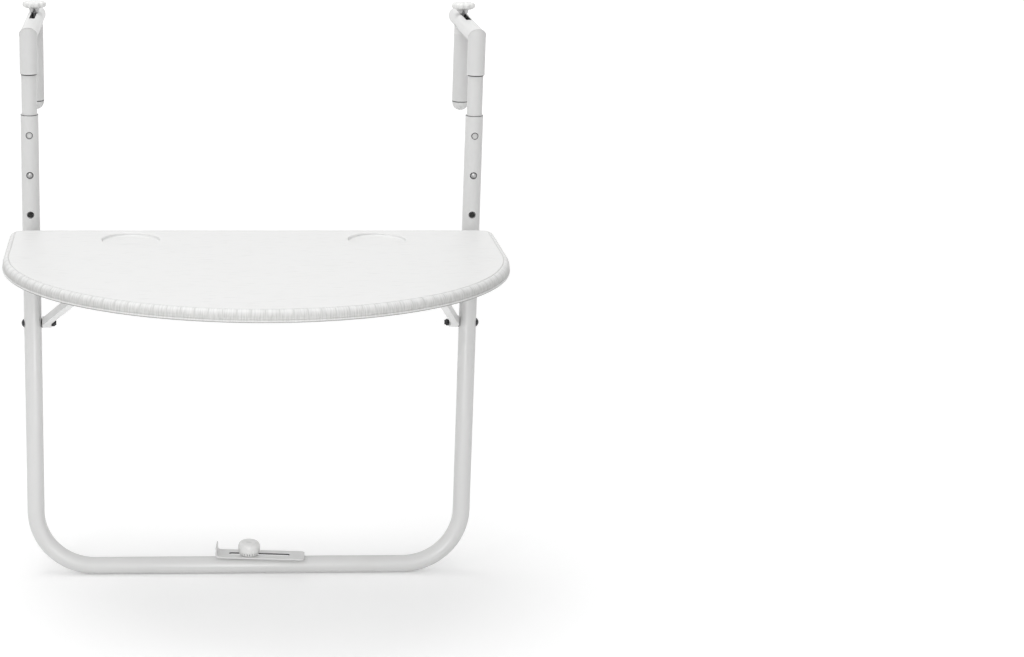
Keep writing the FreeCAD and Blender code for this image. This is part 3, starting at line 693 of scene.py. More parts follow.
@contextmanager
def shaping(piece: bpy.types.Object) -> Iterator[bmesh.types.BMesh]:
    """Gives the mesh of a piece in edit mode, to move or mark its corners, and brings it up to date.

    Args:
        piece: A mesh object in edit mode.

    Yields:
        The edited mesh.
    """
    mesh = bmesh.from_edit_mesh(piece.data)
    yield mesh
    bmesh.update_edit_mesh(piece.data)


def select_faces(piece: bpy.types.Object, wanted: Callable[[bmesh.types.BMFace], bool]) -> None:
    """Selects an edited piece's faces by place or normal.

    Args:
        piece: A mesh object in edit mode.
        wanted: Says whether a face is selected.
    """
    with shaping(piece) as mesh:
        for face in mesh.faces:
            face.select_set(False)
        for face in [face for face in mesh.faces if wanted(face)]:
            face.select_set(True)
        mesh.select_flush_mode()


def apply_all(piece: bpy.types.Object) -> None:
    """Applies a piece's modifiers and its place, turn and size.

    Args:
        piece: A mesh object.
    """
    activate(piece)
    for modifier in list(piece.modifiers):
        bpy.ops.object.modifier_apply(modifier=modifier.name)
    bpy.ops.object.transform_apply(location=True, rotation=True, scale=True)


def adopt(name: str) -> bpy.types.Object:
    """Names the object that was just added, and puts its place into its mesh.

    Args:
        name: The name of object and mesh.

    Returns:
        The object.
    """
    piece = bpy.context.object
    piece.name = piece.data.name = name
    apply_all(piece)
    return piece


def soften(piece: bpy.types.Object, width: float, angle: float = 30.0) -> None:
    """Bevels the edges of a piece.

    Args:
        piece: A mesh object.
        width: The bevel's width.
        angle: Edges that are sharper than this, in degrees, are bevelled.
    """
    bevel = piece.modifiers.new("soft_edges", "BEVEL")
    bevel.width = width
    bevel.segments = 2
    bevel.angle_limit = math.radians(angle)


def face_outwards(piece: bpy.types.Object) -> None:
    """Turns all of a closed piece's faces outwards.

    Args:
        piece: A mesh object.
    """
    with editing(piece):
        bpy.ops.mesh.select_all(action="SELECT")
        bpy.ops.mesh.normals_make_consistent(inside=False)


def disc(name: str, vertices: int, radius: float, centre: Point, fill: str = "NGON") -> bpy.types.Object:
    """Flat round face, or bare circle, to start a piece from.

    Args:
        name: The piece's name.
        vertices: Corners.
        radius: Its radius.
        centre: Its centre.
        fill: NGON or NOTHING.

    Returns:
        The new object, placed in its mesh.
    """
    deselect()
    bpy.ops.mesh.primitive_circle_add(vertices=vertices, radius=radius, fill_type=fill, location=centre)
    return adopt(name)


def raise_profile(piece: bpy.types.Object, centre: Point, profile: Profile) -> None:
    """Extrudes a flat piece upwards through a profile, scaling it about the axis at each step.

    Args:
        piece: A piece that is one face or circle.
        centre: A point on the axis.
        profile: Radius and height of each ring, the first being the piece as it is. If it ends where it
            starts, it is joined up there.
    """
    with editing(piece):
        bpy.ops.mesh.select_all(action="SELECT")
        for (before, low), (after, high) in zip(profile, profile[1:]):
            bpy.ops.mesh.extrude_region_move(TRANSFORM_OT_translate={"value": (0.0, 0.0, high - low)})
            factor = after / before
            bpy.ops.transform.resize(value=(factor, factor, 1.0), center_override=centre)
        if profile[0] == profile[-1]:
            bpy.ops.mesh.select_all(action="SELECT")
            bpy.ops.mesh.remove_doubles(threshold=MERGE)
    face_outwards(piece)


def lathe(name: str, points: int, centre: Point, section: Profile) -> bpy.types.Object:
    """Turns a closed section about an upright axis by extruding a circle through it.

    Args:
        name: The piece's name.
        points: Corners of each circle.
        centre: A point on the axis.
        section: Radius and height above the centre of each circle, the last one joining the first.

    Returns:
        The new ring.
    """
    radius, height = section[0]
    ring = disc(name, points, radius, (centre[0], centre[1], centre[2] + height), "NOTHING")
    raise_profile(ring, centre, [*section, section[0]])
    return ring


class Axis(Enum):
    """Way that a turned piece's axis points, as the axis and angle that turn it there from upright."""

    X = ("Y", math.pi / 2)
    Y = ("X", -math.pi / 2)
    Z = ("Z", 0.0)


def lay(piece: bpy.types.Object, centre: Point, axis: Axis) -> None:
    """Turns a piece about a point, so that what pointed up points along an axis.

    Args:
        piece: A piece with its place in its mesh.
        centre: The point.
        axis: The axis.
    """
    pivot = Matrix.Translation(centre)
    name, angle = axis.value
    piece.data.transform(pivot @ Matrix.Rotation(angle, 4, name) @ pivot.inverted())


def cut(piece: bpy.types.Object, tool: bpy.types.Object, operation: str) -> None:
    """Cuts a piece with a tool and removes the tool.

    Args:
        piece: What is cut.
        tool: A closed piece.
        operation: DIFFERENCE or INTERSECT.
    """
    boolean = piece.modifiers.new("cut", "BOOLEAN")
    boolean.operation = operation
    boolean.solver = "EXACT"
    boolean.object = tool
    apply_all(piece)
    bpy.data.objects.remove(tool)


def copy_piece(piece: bpy.types.Object, name: str, shift: Point = (0.0, 0.0, 0.0)) -> bpy.types.Object:
    """Copies a piece, with its own mesh, to another place.

    Args:
        piece: The piece, before it rides on a body.
        name: The copy's name.
        shift: How far the copy is moved.

    Returns:
        The copy.
    """
    twin = piece.copy()
    twin.data = piece.data.copy()
    twin.name = twin.data.name = name
    twin.data.transform(Matrix.Translation(shift))
    bpy.context.scene.collection.objects.link(twin)
    return twin


def mirror_piece(piece: bpy.types.Object, name: str) -> bpy.types.Object:
    """Copies a closed piece, with its own mesh, to the other side of the table.

    Args:
        piece: The piece, before it rides on a body.
        name: The copy's name.

    Returns:
        The copy.
    """
    twin = copy_piece(piece, name)
    twin.data.transform(Matrix.Scale(-1.0, 4, (1.0, 0.0, 0.0)))
    face_outwards(twin)
    return twin


def settle(
    piece: bpy.types.Object,
    palette: Palette,
    slot: Slot,
    body: str,
    replaced: Sequence[str] = (),
    angle: float = SMOOTH_ANGLE,
) -> None:
    """Finishes a new piece: shading, material, slot, body and what it stands for.

    Args:
        piece: The piece.
        palette: The materials.
        slot: Its slot.
        body: The body it rides on.
        replaced: Nodes that it stands for.
        angle: Sharpest angle that is shaded smooth, in degrees.
    """
    apply_all(piece)
    bpy.ops.object.shade_smooth_by_angle(angle=math.radians(angle))
    palette.coat(piece, slot.value)
    if replaced:
        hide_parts(*replaced)
    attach(piece, body)
    LOG.info("%s: %d faces on %s", piece.name, len(piece.data.polygons), body)


# Table top


@dataclass(frozen=True)
class Station:
    """A point of the table's outline, with its outward direction and its place in the rim's pattern.

    Column 0 is the valley between two blocks of the pattern, which fades out towards the back.
    """

    x: float
    y: float
    out_x: float
    out_y: float
    column: int
    along: float
    woven: float


@dataclass(frozen=True)
class Ring:
    """One ring of the rim's section.

    Attributes:
        inset: How far the ring lies inside the outline.
        drop: How far it lies below the surface.
        relief: Share of the woven pattern's depth that it takes.
        lean: Share of the relief that goes down rather than inwards.
        shade: Painted shade from 0 to 1 in creases, or 2 for the painted shadow at the foot, for a ring
            without relief.
    """

    inset: float
    drop: float
    relief: float = 0.0
    lean: float = 0.0
    shade: float = 0.0


@dataclass
class MouldedTop:
    """Moulded table top with a woven rim, a groove inside it and two recesses for glasses."""

    table_z: float = TABLE_Z
    half: float = 0.300
    back: float = -0.032
    front: float = -0.413
    side: float = 0.129
    side_steps: int = 720
    corner: float = 0.018
    corner_steps: int = 90
    thickness: float = 0.014
    skin: float = 0.0029
    tray_inset: float = 0.0027
    tray_play: float = 0.0001
    block: float = 0.0155
    columns: int = 14
    woven_to: float = -0.052
    valley: float = 0.00036
    shoulder: float = 0.10
    step: float = 0.20
    crown: float = 0.00015
    cup_x: float = CUP_X
    cup_y: float = CUP_Y
    cup_radius: float = 0.035
    cup_points: int = 128
    cup_lip: float = 0.0015
    cup_reach: float = 0.0001
    overcut: float = 0.001
    margin: float = 0.0008
    upright: float = 0.999
    shell_angle: float = 40.0
    tray_angle: float = 20.0
    slot: Slot = Slot.MOULDED_TOP
    body: str = "table"

    def section(self) -> list[Ring]:
        """Lists the rings of the rim from inside its foot, round the outside, to the edge of the flat.

        Returns:
            The rings, from inset and drop in millimetres, relief, lean and painted shade.
        """
        rows = [
            (2.8, 2.9), (2.8, 13.99), (1.8, 14.0, 0.0, 0.0, 2.0), (0.85, 13.75, 0.0, 0.0, 2.0),
            (0.25, 13.2, 0.0, 0.0, 2.0), (0.0, 12.4, 0.0, 0.0, 0.5), (0.12, 11.6),
            (0.55, 11.0, 0.0, 0.0, 0.2), (1.15, 10.65, 0.0, 0.0, 0.8), (1.1, 10.1, 0.6),
            (0.8, 9.4, 1.0), (0.75, 8.3, 1.0), (0.8, 7.1, 1.0), (1.0, 5.8, 1.0, 0.1),
            (1.45, 4.4, 1.0, 0.3), (2.1, 3.1, 1.0, 0.5), (3.0, 2.0, 1.0, 0.7), (4.1, 1.1, 1.0, 0.9),
            (5.3, 0.5, 1.0, 1.0), (6.5, 0.25, 0.7, 1.0), (7.3, 0.5, 0.0, 1.0, 0.1),
            (7.7, 0.95, 0.0, 0.0, 0.7), (8.0, 0.95, 0.0, 0.0, 0.7), (8.35, 0.25, 0.0, 0.0, 0.1), (8.7, 0.0),
        ]
        return [Ring(row[0] / 1000, row[1] / 1000, *row[2:]) for row in rows]

    def _half_outline(self) -> list[tuple[float, float]]:
        """Draws the outline's right half finely.

        Returns:
            Points from the middle of the front round the right side to the middle of the back.
        """
        oval_y = self.back - self.side
        depth = oval_y - self.front
        x, y = self.half - self.corner, self.back - self.corner
        points = []
        for turn in quarter_turn(self.side_steps):
            points.append((self.half * math.sin(turn), oval_y - depth * math.cos(turn)))
        for turn in quarter_turn(self.corner_steps):
            points.append((x + self.corner * math.cos(turn), y + self.corner * math.sin(turn)))
        points.append((0.0, self.back))
        return points

    def stations(self, columns: int) -> list[Station]:
        """Evenly spaced points of the whole outline, anticlockwise from the middle of the front.

        Args:
            columns: Points to each block of the pattern.

        Returns:
            The stations.
        """
        line = self._half_outline()
        lengths = [0.0]
        for (ax, ay), (bx, by) in zip(line, line[1:]):
            lengths.append(lengths[-1] + math.hypot(bx - ax, by - ay))
        count = round(lengths[-1] / self.block) * columns
        right = []
        at = 0
        for index in range(count + 1):
            wanted = lengths[-1] * index / count
            while lengths[at + 1] < wanted and at < len(line) - 2:
                at += 1
            (ax, ay), (bx, by) = line[at], line[at + 1]
            run = lengths[at + 1] - lengths[at]
            share = min(1.0, (wanted - lengths[at]) / run)
            dx, dy = (bx - ax) / run, (by - ay) / run
            x, y = ax + share * (bx - ax), ay + share * (by - ay)
            woven = min(1.0, max(0.0, (self.woven_to - y) / self.block))
            right.append(Station(x, y, dy, -dx, index % columns, wanted, woven))
        left = [replace(s, x=-s.x, out_x=-s.out_x, along=-s.along) for s in reversed(right[1:-1])]
        return right + left

    def _relief(self, column: int) -> float:
        """Depth of the woven pattern: a valley between two blocks, its two sides, and the block's crown.

        Args:
            column: The station's number in its block.

        Returns:
            The depth in metres, which is negative where the rim swells.
        """
        shares = {0: 1.0, 1: self.shoulder, 2: self.step, self.columns - 1: self.shoulder}
        if column in shares:
            return shares[column] * self.valley
        return -self.crown * math.sin(math.pi * (column - 2) / (self.columns - 2))

    def _set_ring(self, piece: bpy.types.Object, stations: Sequence[Station], ring: Ring) -> None:
        """Moves the selected cap's corners onto a ring.

        Args:
            piece: The piece in edit mode, with its cap selected.
            stations: The outline's points, in the cap's order.
            ring: The ring.
        """
        with shaping(piece) as mesh:
            layers = mesh.verts.layers
            order = layers.int["station"]
            along, groove = (layers.float.get(name) or layers.float.new(name) for name in ("along", "groove"))
            cap = next(face for face in mesh.faces if face.select)
            for vertex, station in zip(sorted(cap.verts, key=lambda v: v[order]), stations):
                depth = self._relief(station.column) * ring.relief * station.woven
                vertex[along] = ALONG_START + station.along
                # The groove attribute carries painted shade: the valleys' depth between blocks, or the ring's
                # own painted shade, 2 being the foot's painted shadow.
                vertex[groove] = max(0.0, depth / self.valley) if ring.relief else ring.shade
                inset = ring.inset + depth * (1.0 - ring.lean)
                vertex.co.x = station.x - station.out_x * inset
                vertex.co.y = station.y - station.out_y * inset
                vertex.co.z = self.table_z - ring.drop - depth * ring.lean

    def _loft(self, name: str, stations: Sequence[Station], rings: Sequence[Ring]) -> bpy.types.Object:
        """Extrudes the plan through rings into a closed piece.

        Args:
            name: The piece's name.
            stations: The outline's points.
            rings: Its rings, from the lower cap to the upper one.

        Returns:
            The piece.
        """
        piece = disc(name, len(stations), self.half, (0.0, 0.0, self.table_z))
        layer = piece.data.attributes.new("station", "INT", "POINT")
        layer.data.foreach_set("value", range(len(stations)))
        with editing(piece):
            bpy.ops.mesh.select_all(action="SELECT")
            self._set_ring(piece, stations, rings[0])
            for ring in rings[1:]:
                bpy.ops.mesh.extrude_region_move()
                self._set_ring(piece, stations, ring)
        piece.data.attributes.remove(piece.data.attributes["station"])
        face_outwards(piece)
        return piece

    def _cup_cutter(self, side: Side) -> bpy.types.Object:
        """Makes the round cutter for one recess.

        Args:
            side: The recess's side.

        Returns:
            The cutter, which reaches through the skin.
        """
        centre = (side.value * self.cup_x, self.cup_y, self.table_z - self.skin - self.overcut)
        cutter = disc("cutter", self.cup_points, self.cup_radius, centre)
        raise_profile(cutter, centre, [(1.0, 0.0), (1.0, self.skin + 3 * self.overcut)])
        return cutter

    def _ease_cup_lip(self, piece: bpy.types.Object) -> None:
        """Rounds the upper edges of the recesses.

        Args:
            piece: The shell.
        """

        def on_lip(co: Vector) -> bool:
            """Whether a point lies on a recess's upper edge."""
            off = math.hypot(abs(co.x) - self.cup_x, co.y - self.cup_y) - self.cup_radius
            return abs(co.z - self.table_z) < LEVEL and abs(off) < self.cup_reach

        with editing(piece):
            bpy.ops.mesh.select_all(action="DESELECT")
            bpy.ops.mesh.select_mode(type="EDGE")
            with shaping(piece) as mesh:
                for edge in mesh.edges:
                    edge.select_set(all(on_lip(v.co) for v in edge.verts))
            bpy.ops.mesh.bevel(offset=self.cup_lip, segments=4, affect="EDGES")
            bpy.ops.mesh.select_mode(type="VERT")

    def _keep_flat(self, piece: bpy.types.Object) -> None:
        """Puts a narrow level margin round the flat, so that its edges' shading doesn't spread over it.

        Args:
            piece: The shell.
        """

        def is_flat(face: bmesh.types.BMFace) -> bool:
            """Whether a face belongs to the flat."""
            level = all(abs(v.co.z - self.table_z) < LEVEL for v in face.verts)
            return level and face.normal.z > self.upright

        with editing(piece):
            select_faces(piece, is_flat)
            bpy.ops.mesh.inset(thickness=self.margin, use_even_offset=False)

    def build_shell(self, palette: Palette) -> None:
        """Makes the top's outer shell, from the foot of the rim to the flat.

        Args:
            palette: The materials.
        """
        shell = self._loft("moulded_shell", self.stations(self.columns), self.section())
        for side in Side:
            cut(shell, self._cup_cutter(side), "DIFFERENCE")
        self._ease_cup_lip(shell)
        self._keep_flat(shell)
        settle(shell, palette, self.slot, self.body, ["table_top"], self.shell_angle)

    def build_tray(self, palette: Palette, node: bpy.types.Object) -> None:
        """Makes the ribbed underside from a merged copy of the node, trimmed to lie inside the shell.

        Args:
            palette: The materials.
            node: The table top's node.
        """
        tray = copy_piece(node, "ribbed_tray")
        tray.parent = None
        for key in list(tray.keys()):
            del tray[key]
        tray.hide_render = tray.hide_viewport = False
        with editing(tray):
            bpy.ops.mesh.select_all(action="SELECT")
            bpy.ops.mesh.remove_doubles(threshold=MERGE)
            bpy.ops.mesh.customdata_custom_splitnormals_clear()
        rings = [Ring(self.tray_inset, depth - self.tray_play) for depth in (self.thickness, self.skin)]
        cut(tray, self._loft("trim", self.stations(2), rings), "INTERSECT")
        settle(tray, palette, self.slot, self.body, ["table_top"], self.tray_angle)

    def build(self, palette: Palette, nodes: Mapping[str, bpy.types.Object]) -> None:
        """Makes the whole top.

        Args:
            palette: The materials.
            nodes: The part's nodes.
        """
        self.build_tray(palette, nodes["table_top"])
        self.build_shell(palette)


# Knobs


@dataclass
class StarKnob:
    """Lobed knobs on top of the hanging arms, with their profile in millimetres above the foot."""

    x: float = POST_X
    y: float = HOOK_Y
    foot_z: float = 0.0271
    radius: float = 0.0150
    lobes: int = 10
    points: int = 8
    hollow: float = 0.0021
    sharpness: float = 2.2
    angle: float = 45.0
    profile: Profile = (
        (8.6, 0.0), (10.2, 0.25), (12.6, 1.0), (14.4, 1.9), (14.95, 2.7), (15.0, 3.6), (15.0, 5.6),
        (14.8, 6.6), (14.1, 7.7), (12.6, 8.5), (9.6, 9.1), (5.6, 9.5), (2.4, 9.65),
    )

    def build(self, palette: Palette) -> None:
        """Makes both knobs in place of their nodes.

        Args:
            palette: The materials.
        """
        centre = (-self.x, self.y, self.foot_z)
        rings = in_metres(self.profile)
        knob = disc("star_knob_left", self.lobes * self.points, rings[0][0], centre)
        middle = Vector(centre)
        with editing(knob), shaping(knob) as mesh:
            for vertex in mesh.verts:
                arm = vertex.co - middle
                wave = 0.5 - 0.5 * math.cos(self.lobes * math.atan2(arm.y, arm.x))
                vertex.co = middle + arm * (1.0 - self.hollow / self.radius * wave ** self.sharpness)
        raise_profile(knob, centre, rings)
        subdivision = knob.modifiers.new("round", "SUBSURF")
        subdivision.levels = subdivision.render_levels = 1
        apply_all(knob)
        twin = copy_piece(knob, "star_knob_right", (2 * self.x, 0.0, 0.0))
        for piece, name in ((knob, "knob_left"), (twin, "knob_right")):
            settle(piece, palette, Slot.WHITE_KNOB, name, [name], self.angle)


@dataclass
class ToothedKnob:
    """Domed knob of the foot clamp, with a toothed edge and its profile in millimetres above the foot."""

    x: float = 0.0
    y: float = POST_Y
    foot_z: float = -0.6649
    teeth: int = 24
    facets: int = 4
    gap: float = 0.0022
    gap_low: float = 0.0003
    gap_high: float = 0.0039
    soft: float = 0.00012
    angle: float = 40.0
    profile: Profile = (
        (11.9, 0.0), (12.7, 0.5), (13.3, 3.6), (13.6, 4.1), (14.1, 5.2), (14.3, 7.2), (14.3, 10.2),
        (14.0, 12.4), (13.2, 14.4), (11.7, 16.0), (9.4, 17.0), (6.2, 17.5), (2.6, 17.7),
    )

    def build(self, palette: Palette) -> None:
        """Makes the knob in place of its node.

        Args:
            palette: The materials.
        """
        centre = (self.x, self.y, self.foot_z)
        rings = in_metres(self.profile)
        columns = self.facets * self.teeth
        knob = disc("toothed_knob", columns, rings[0][0], centre)
        raise_profile(knob, centre, rings)
        low, high = self.foot_z + self.gap_low, self.foot_z + self.gap_high

        def in_gap(face: bmesh.types.BMFace) -> bool:
            """Whether a side face lies between two teeth.

            Args:
                face: A face of the knob.

            Returns:
                True if it does.
            """
            middle = face.calc_center_median()
            turn = math.atan2(middle.y - self.y, middle.x - self.x) / math.tau * columns
            return low < middle.z < high and math.floor(turn) % self.facets == 0

        with editing(knob):
            select_faces(knob, in_gap)
            bpy.ops.mesh.extrude_faces_move(TRANSFORM_OT_shrink_fatten={"value": -self.gap})
            # Marks the gaps between the teeth with groove, where the knob's material paints shade.
            with shaping(knob) as mesh:
                groove = mesh.verts.layers.float.new("groove")
                for vertex in {v for face in mesh.faces if face.select for v in face.verts}:
                    vertex[groove] = 1.0
        soften(knob, self.soft, self.angle)
        settle(knob, palette, Slot.WHITE_KNOB, "clamp_screw", ["clamp_knob"], self.angle)


# Hanging arms, frame and hooks


@dataclass
class ElbowWeld:
    """Weld beads round the mitres of the hanging arms' elbows."""

    x: float = POST_X
    y: float = POST_Y
    z: float = TUBE_RADIUS
    tube_radius: float = TUBE_RADIUS
    thin: float = 0.00035
    thick: float = 0.0014
    ripples: int = 34
    ripple_depth: float = 0.22
    ripple_least: float = 0.35
    segments: int = 204
    bead_segments: int = 10
    angle: float = 60.0

    def build(self, palette: Palette) -> None:
        """Makes both beads, thick in the inner corner and ground flat outside.

        Args:
            palette: The materials.
        """
        deselect()
        bpy.ops.mesh.primitive_torus_add(
            major_segments=self.segments,
            minor_segments=self.bead_segments,
            major_radius=self.tube_radius,
            minor_radius=self.thick,
        )
        bead = adopt("elbow_weld_left")
        with editing(bead), shaping(bead) as mesh:
            for vertex in mesh.verts:
                turn = math.atan2(vertex.co.y, vertex.co.x)
                spine = Vector((math.cos(turn), math.sin(turn), 0.0)) * self.tube_radius
                inner = max(0.0, math.sin(turn)) ** 3
                wave = abs(math.sin(self.ripples * turn / 2)) * (self.ripple_least + inner)
                ripple = 1.0 + self.ripple_depth * wave
                size = (self.thin + (self.thick - self.thin) * inner) * ripple / self.thick
                vertex.co = spine + (vertex.co - spine) * size
        bead.scale = (1.0, math.sqrt(2.0), 1.0)
        bead.rotation_euler = (-math.pi / 4, 0.0, 0.0)
        bead.location = (-self.x, self.y, self.z)
        apply_all(bead)
        twin = copy_piece(bead, "elbow_weld_right", (2 * self.x, 0.0, 0.0))
        for piece, body in ((bead, "arm_left"), (twin, "arm_right")):
            settle(piece, palette, Slot.WHITE_STEEL, body, angle=self.angle)


@dataclass(frozen=True)
class EdgeRing:
    """A thin ring at a tube's end, where the photograph shows a lip, a seam or a dark edge, the dark ones
    being painted shade.

    Attributes:
        name: Start of the pieces' names.
        centre: Middle of the left ring's foot, from which its axis points along X, Y or Z.
        section: Radius and height of its corners, in millimetres.
        slot: Its finish.
        body: Start of the name of the body that it rides on, or the whole name.
        axis: Where its axis points.
        tube: Radius of a tube whose side it follows, or 0.
        points: Corners round it.
        replaced: Nodes that the pair stands for.
        soft: Width of its bevel.
    """

    name: str
    centre: Point
    section: Profile
    slot: Slot
    body: str
    axis: Axis = Axis.Z
    tube: float = 0.0
    points: int = 64
    replaced: tuple[str, ...] = ()
    soft: float = 0.00008

    def build(self, palette: Palette) -> None:
        """Makes the ring on the left and its copy on the right.

        Args:
            palette: The materials.
        """
        ring = lathe(f"{self.name}_left", self.points, self.centre, in_metres(self.section))
        if self.tube:
            self._wrap(ring)
        lay(ring, self.centre, self.axis)
        soften(ring, self.soft)
        apply_all(ring)
        twin = mirror_piece(ring, f"{self.name}_right")
        for piece, side in ((ring, Side.LEFT), (twin, Side.RIGHT)):
            body = self.body + side.word if self.body.endswith("_") else self.body
            settle(piece, palette, self.slot, body, self.replaced)

    def _wrap(self, ring: bpy.types.Object) -> None:
        """Bends the ring round the tube that it lies on.

        Args:
            ring: The ring, still upright.
        """
        with editing(ring), shaping(ring) as mesh:
            for vertex in mesh.verts:
                off = vertex.co.x - self.centre[0]
                vertex.co.z += self.tube - math.sqrt(self.tube ** 2 - off ** 2)


def edge_rings() -> list[EdgeRing]:
    """Lists all rings of the frame, the arms and the hooks.

    Returns:
        The rings.
    """
    # The gap, edge, seam and rim sections make dark rings of painted shade; lip, washer and nut are real
    # parts.
    gap = ((9.52, 0.0), (9.74, 0.0), (9.74, 1.4), (9.52, 1.4))
    lip = ((10.3, 0.05), (10.8, 0.0), (11.2, 0.5), (11.25, 1.0), (10.95, 1.7), (10.3, 1.7))
    edge = ((10.5, 0.0), (11.04, 0.0), (11.04, 0.6), (10.8, 0.8), (10.5, 0.8))
    washer = ((3.2, 0.0), (5.9, 0.0), (5.9, 1.1), (3.2, 1.1))
    nut = ((3.45, 0.0), (4.5, 0.0), (4.5, 3.2), (3.9, 4.1), (3.45, 4.1))
    seam = ((10.2, 0.0), (10.92, 0.0), (10.92, 1.1), (10.2, 1.1))
    rim = ((3.55, 0.1), (4.5, 0.1), (4.3, -0.12), (3.9, -0.2), (3.55, -0.05))
    rings = [
        # A black ring of painted shade below each sleeve's end.
        EdgeRing("sleeve_shade_ring", (-POST_X, POST_Y, -0.0371), gap, Slot.BLACK_PLASTIC, "arm_"),
        EdgeRing("sleeve_lip", (-POST_X, POST_Y, -0.0357), lip, Slot.WHITE_STEEL, "arm_"),
        # A dark ring of painted shade at each post's top.
        EdgeRing("post_shade_edge", (-POST_X, POST_Y, -0.0868), edge, Slot.BOLT_STEEL, "frame"),
        EdgeRing("pivot_washer", (-0.2638, POST_Y, PIVOT_Z), washer, Slot.BLACK_PLASTIC, "frame", Axis.X,
                 replaced=("brace_washers",)),
        EdgeRing("pivot_nut", (-0.2512, POST_Y, PIVOT_Z), nut, Slot.BOLT_STEEL, "frame", Axis.X,
                 points=6, replaced=("brace_nuts",)),
        # A black ring of painted shade at each hook's cap seam.
        EdgeRing("hook_seam_shade", (-POST_X, HOOK_Y, -0.0926), seam, Slot.BLACK_PLASTIC, "hook_"),
    ]
    # Dark rims of painted shade round the setting holes.
    for number, z in enumerate((-0.111, -0.161, -0.211), 1):
        name, place = f"hole_rim_{number}", (-POST_X, POST_Y - TUBE_RADIUS, z)
        rings.append(EdgeRing(name, place, rim, Slot.BOLT_STEEL, "frame", Axis.Y, TUBE_RADIUS, 32))
    return rings


# Braces


Section = tuple[float, float, float, float]


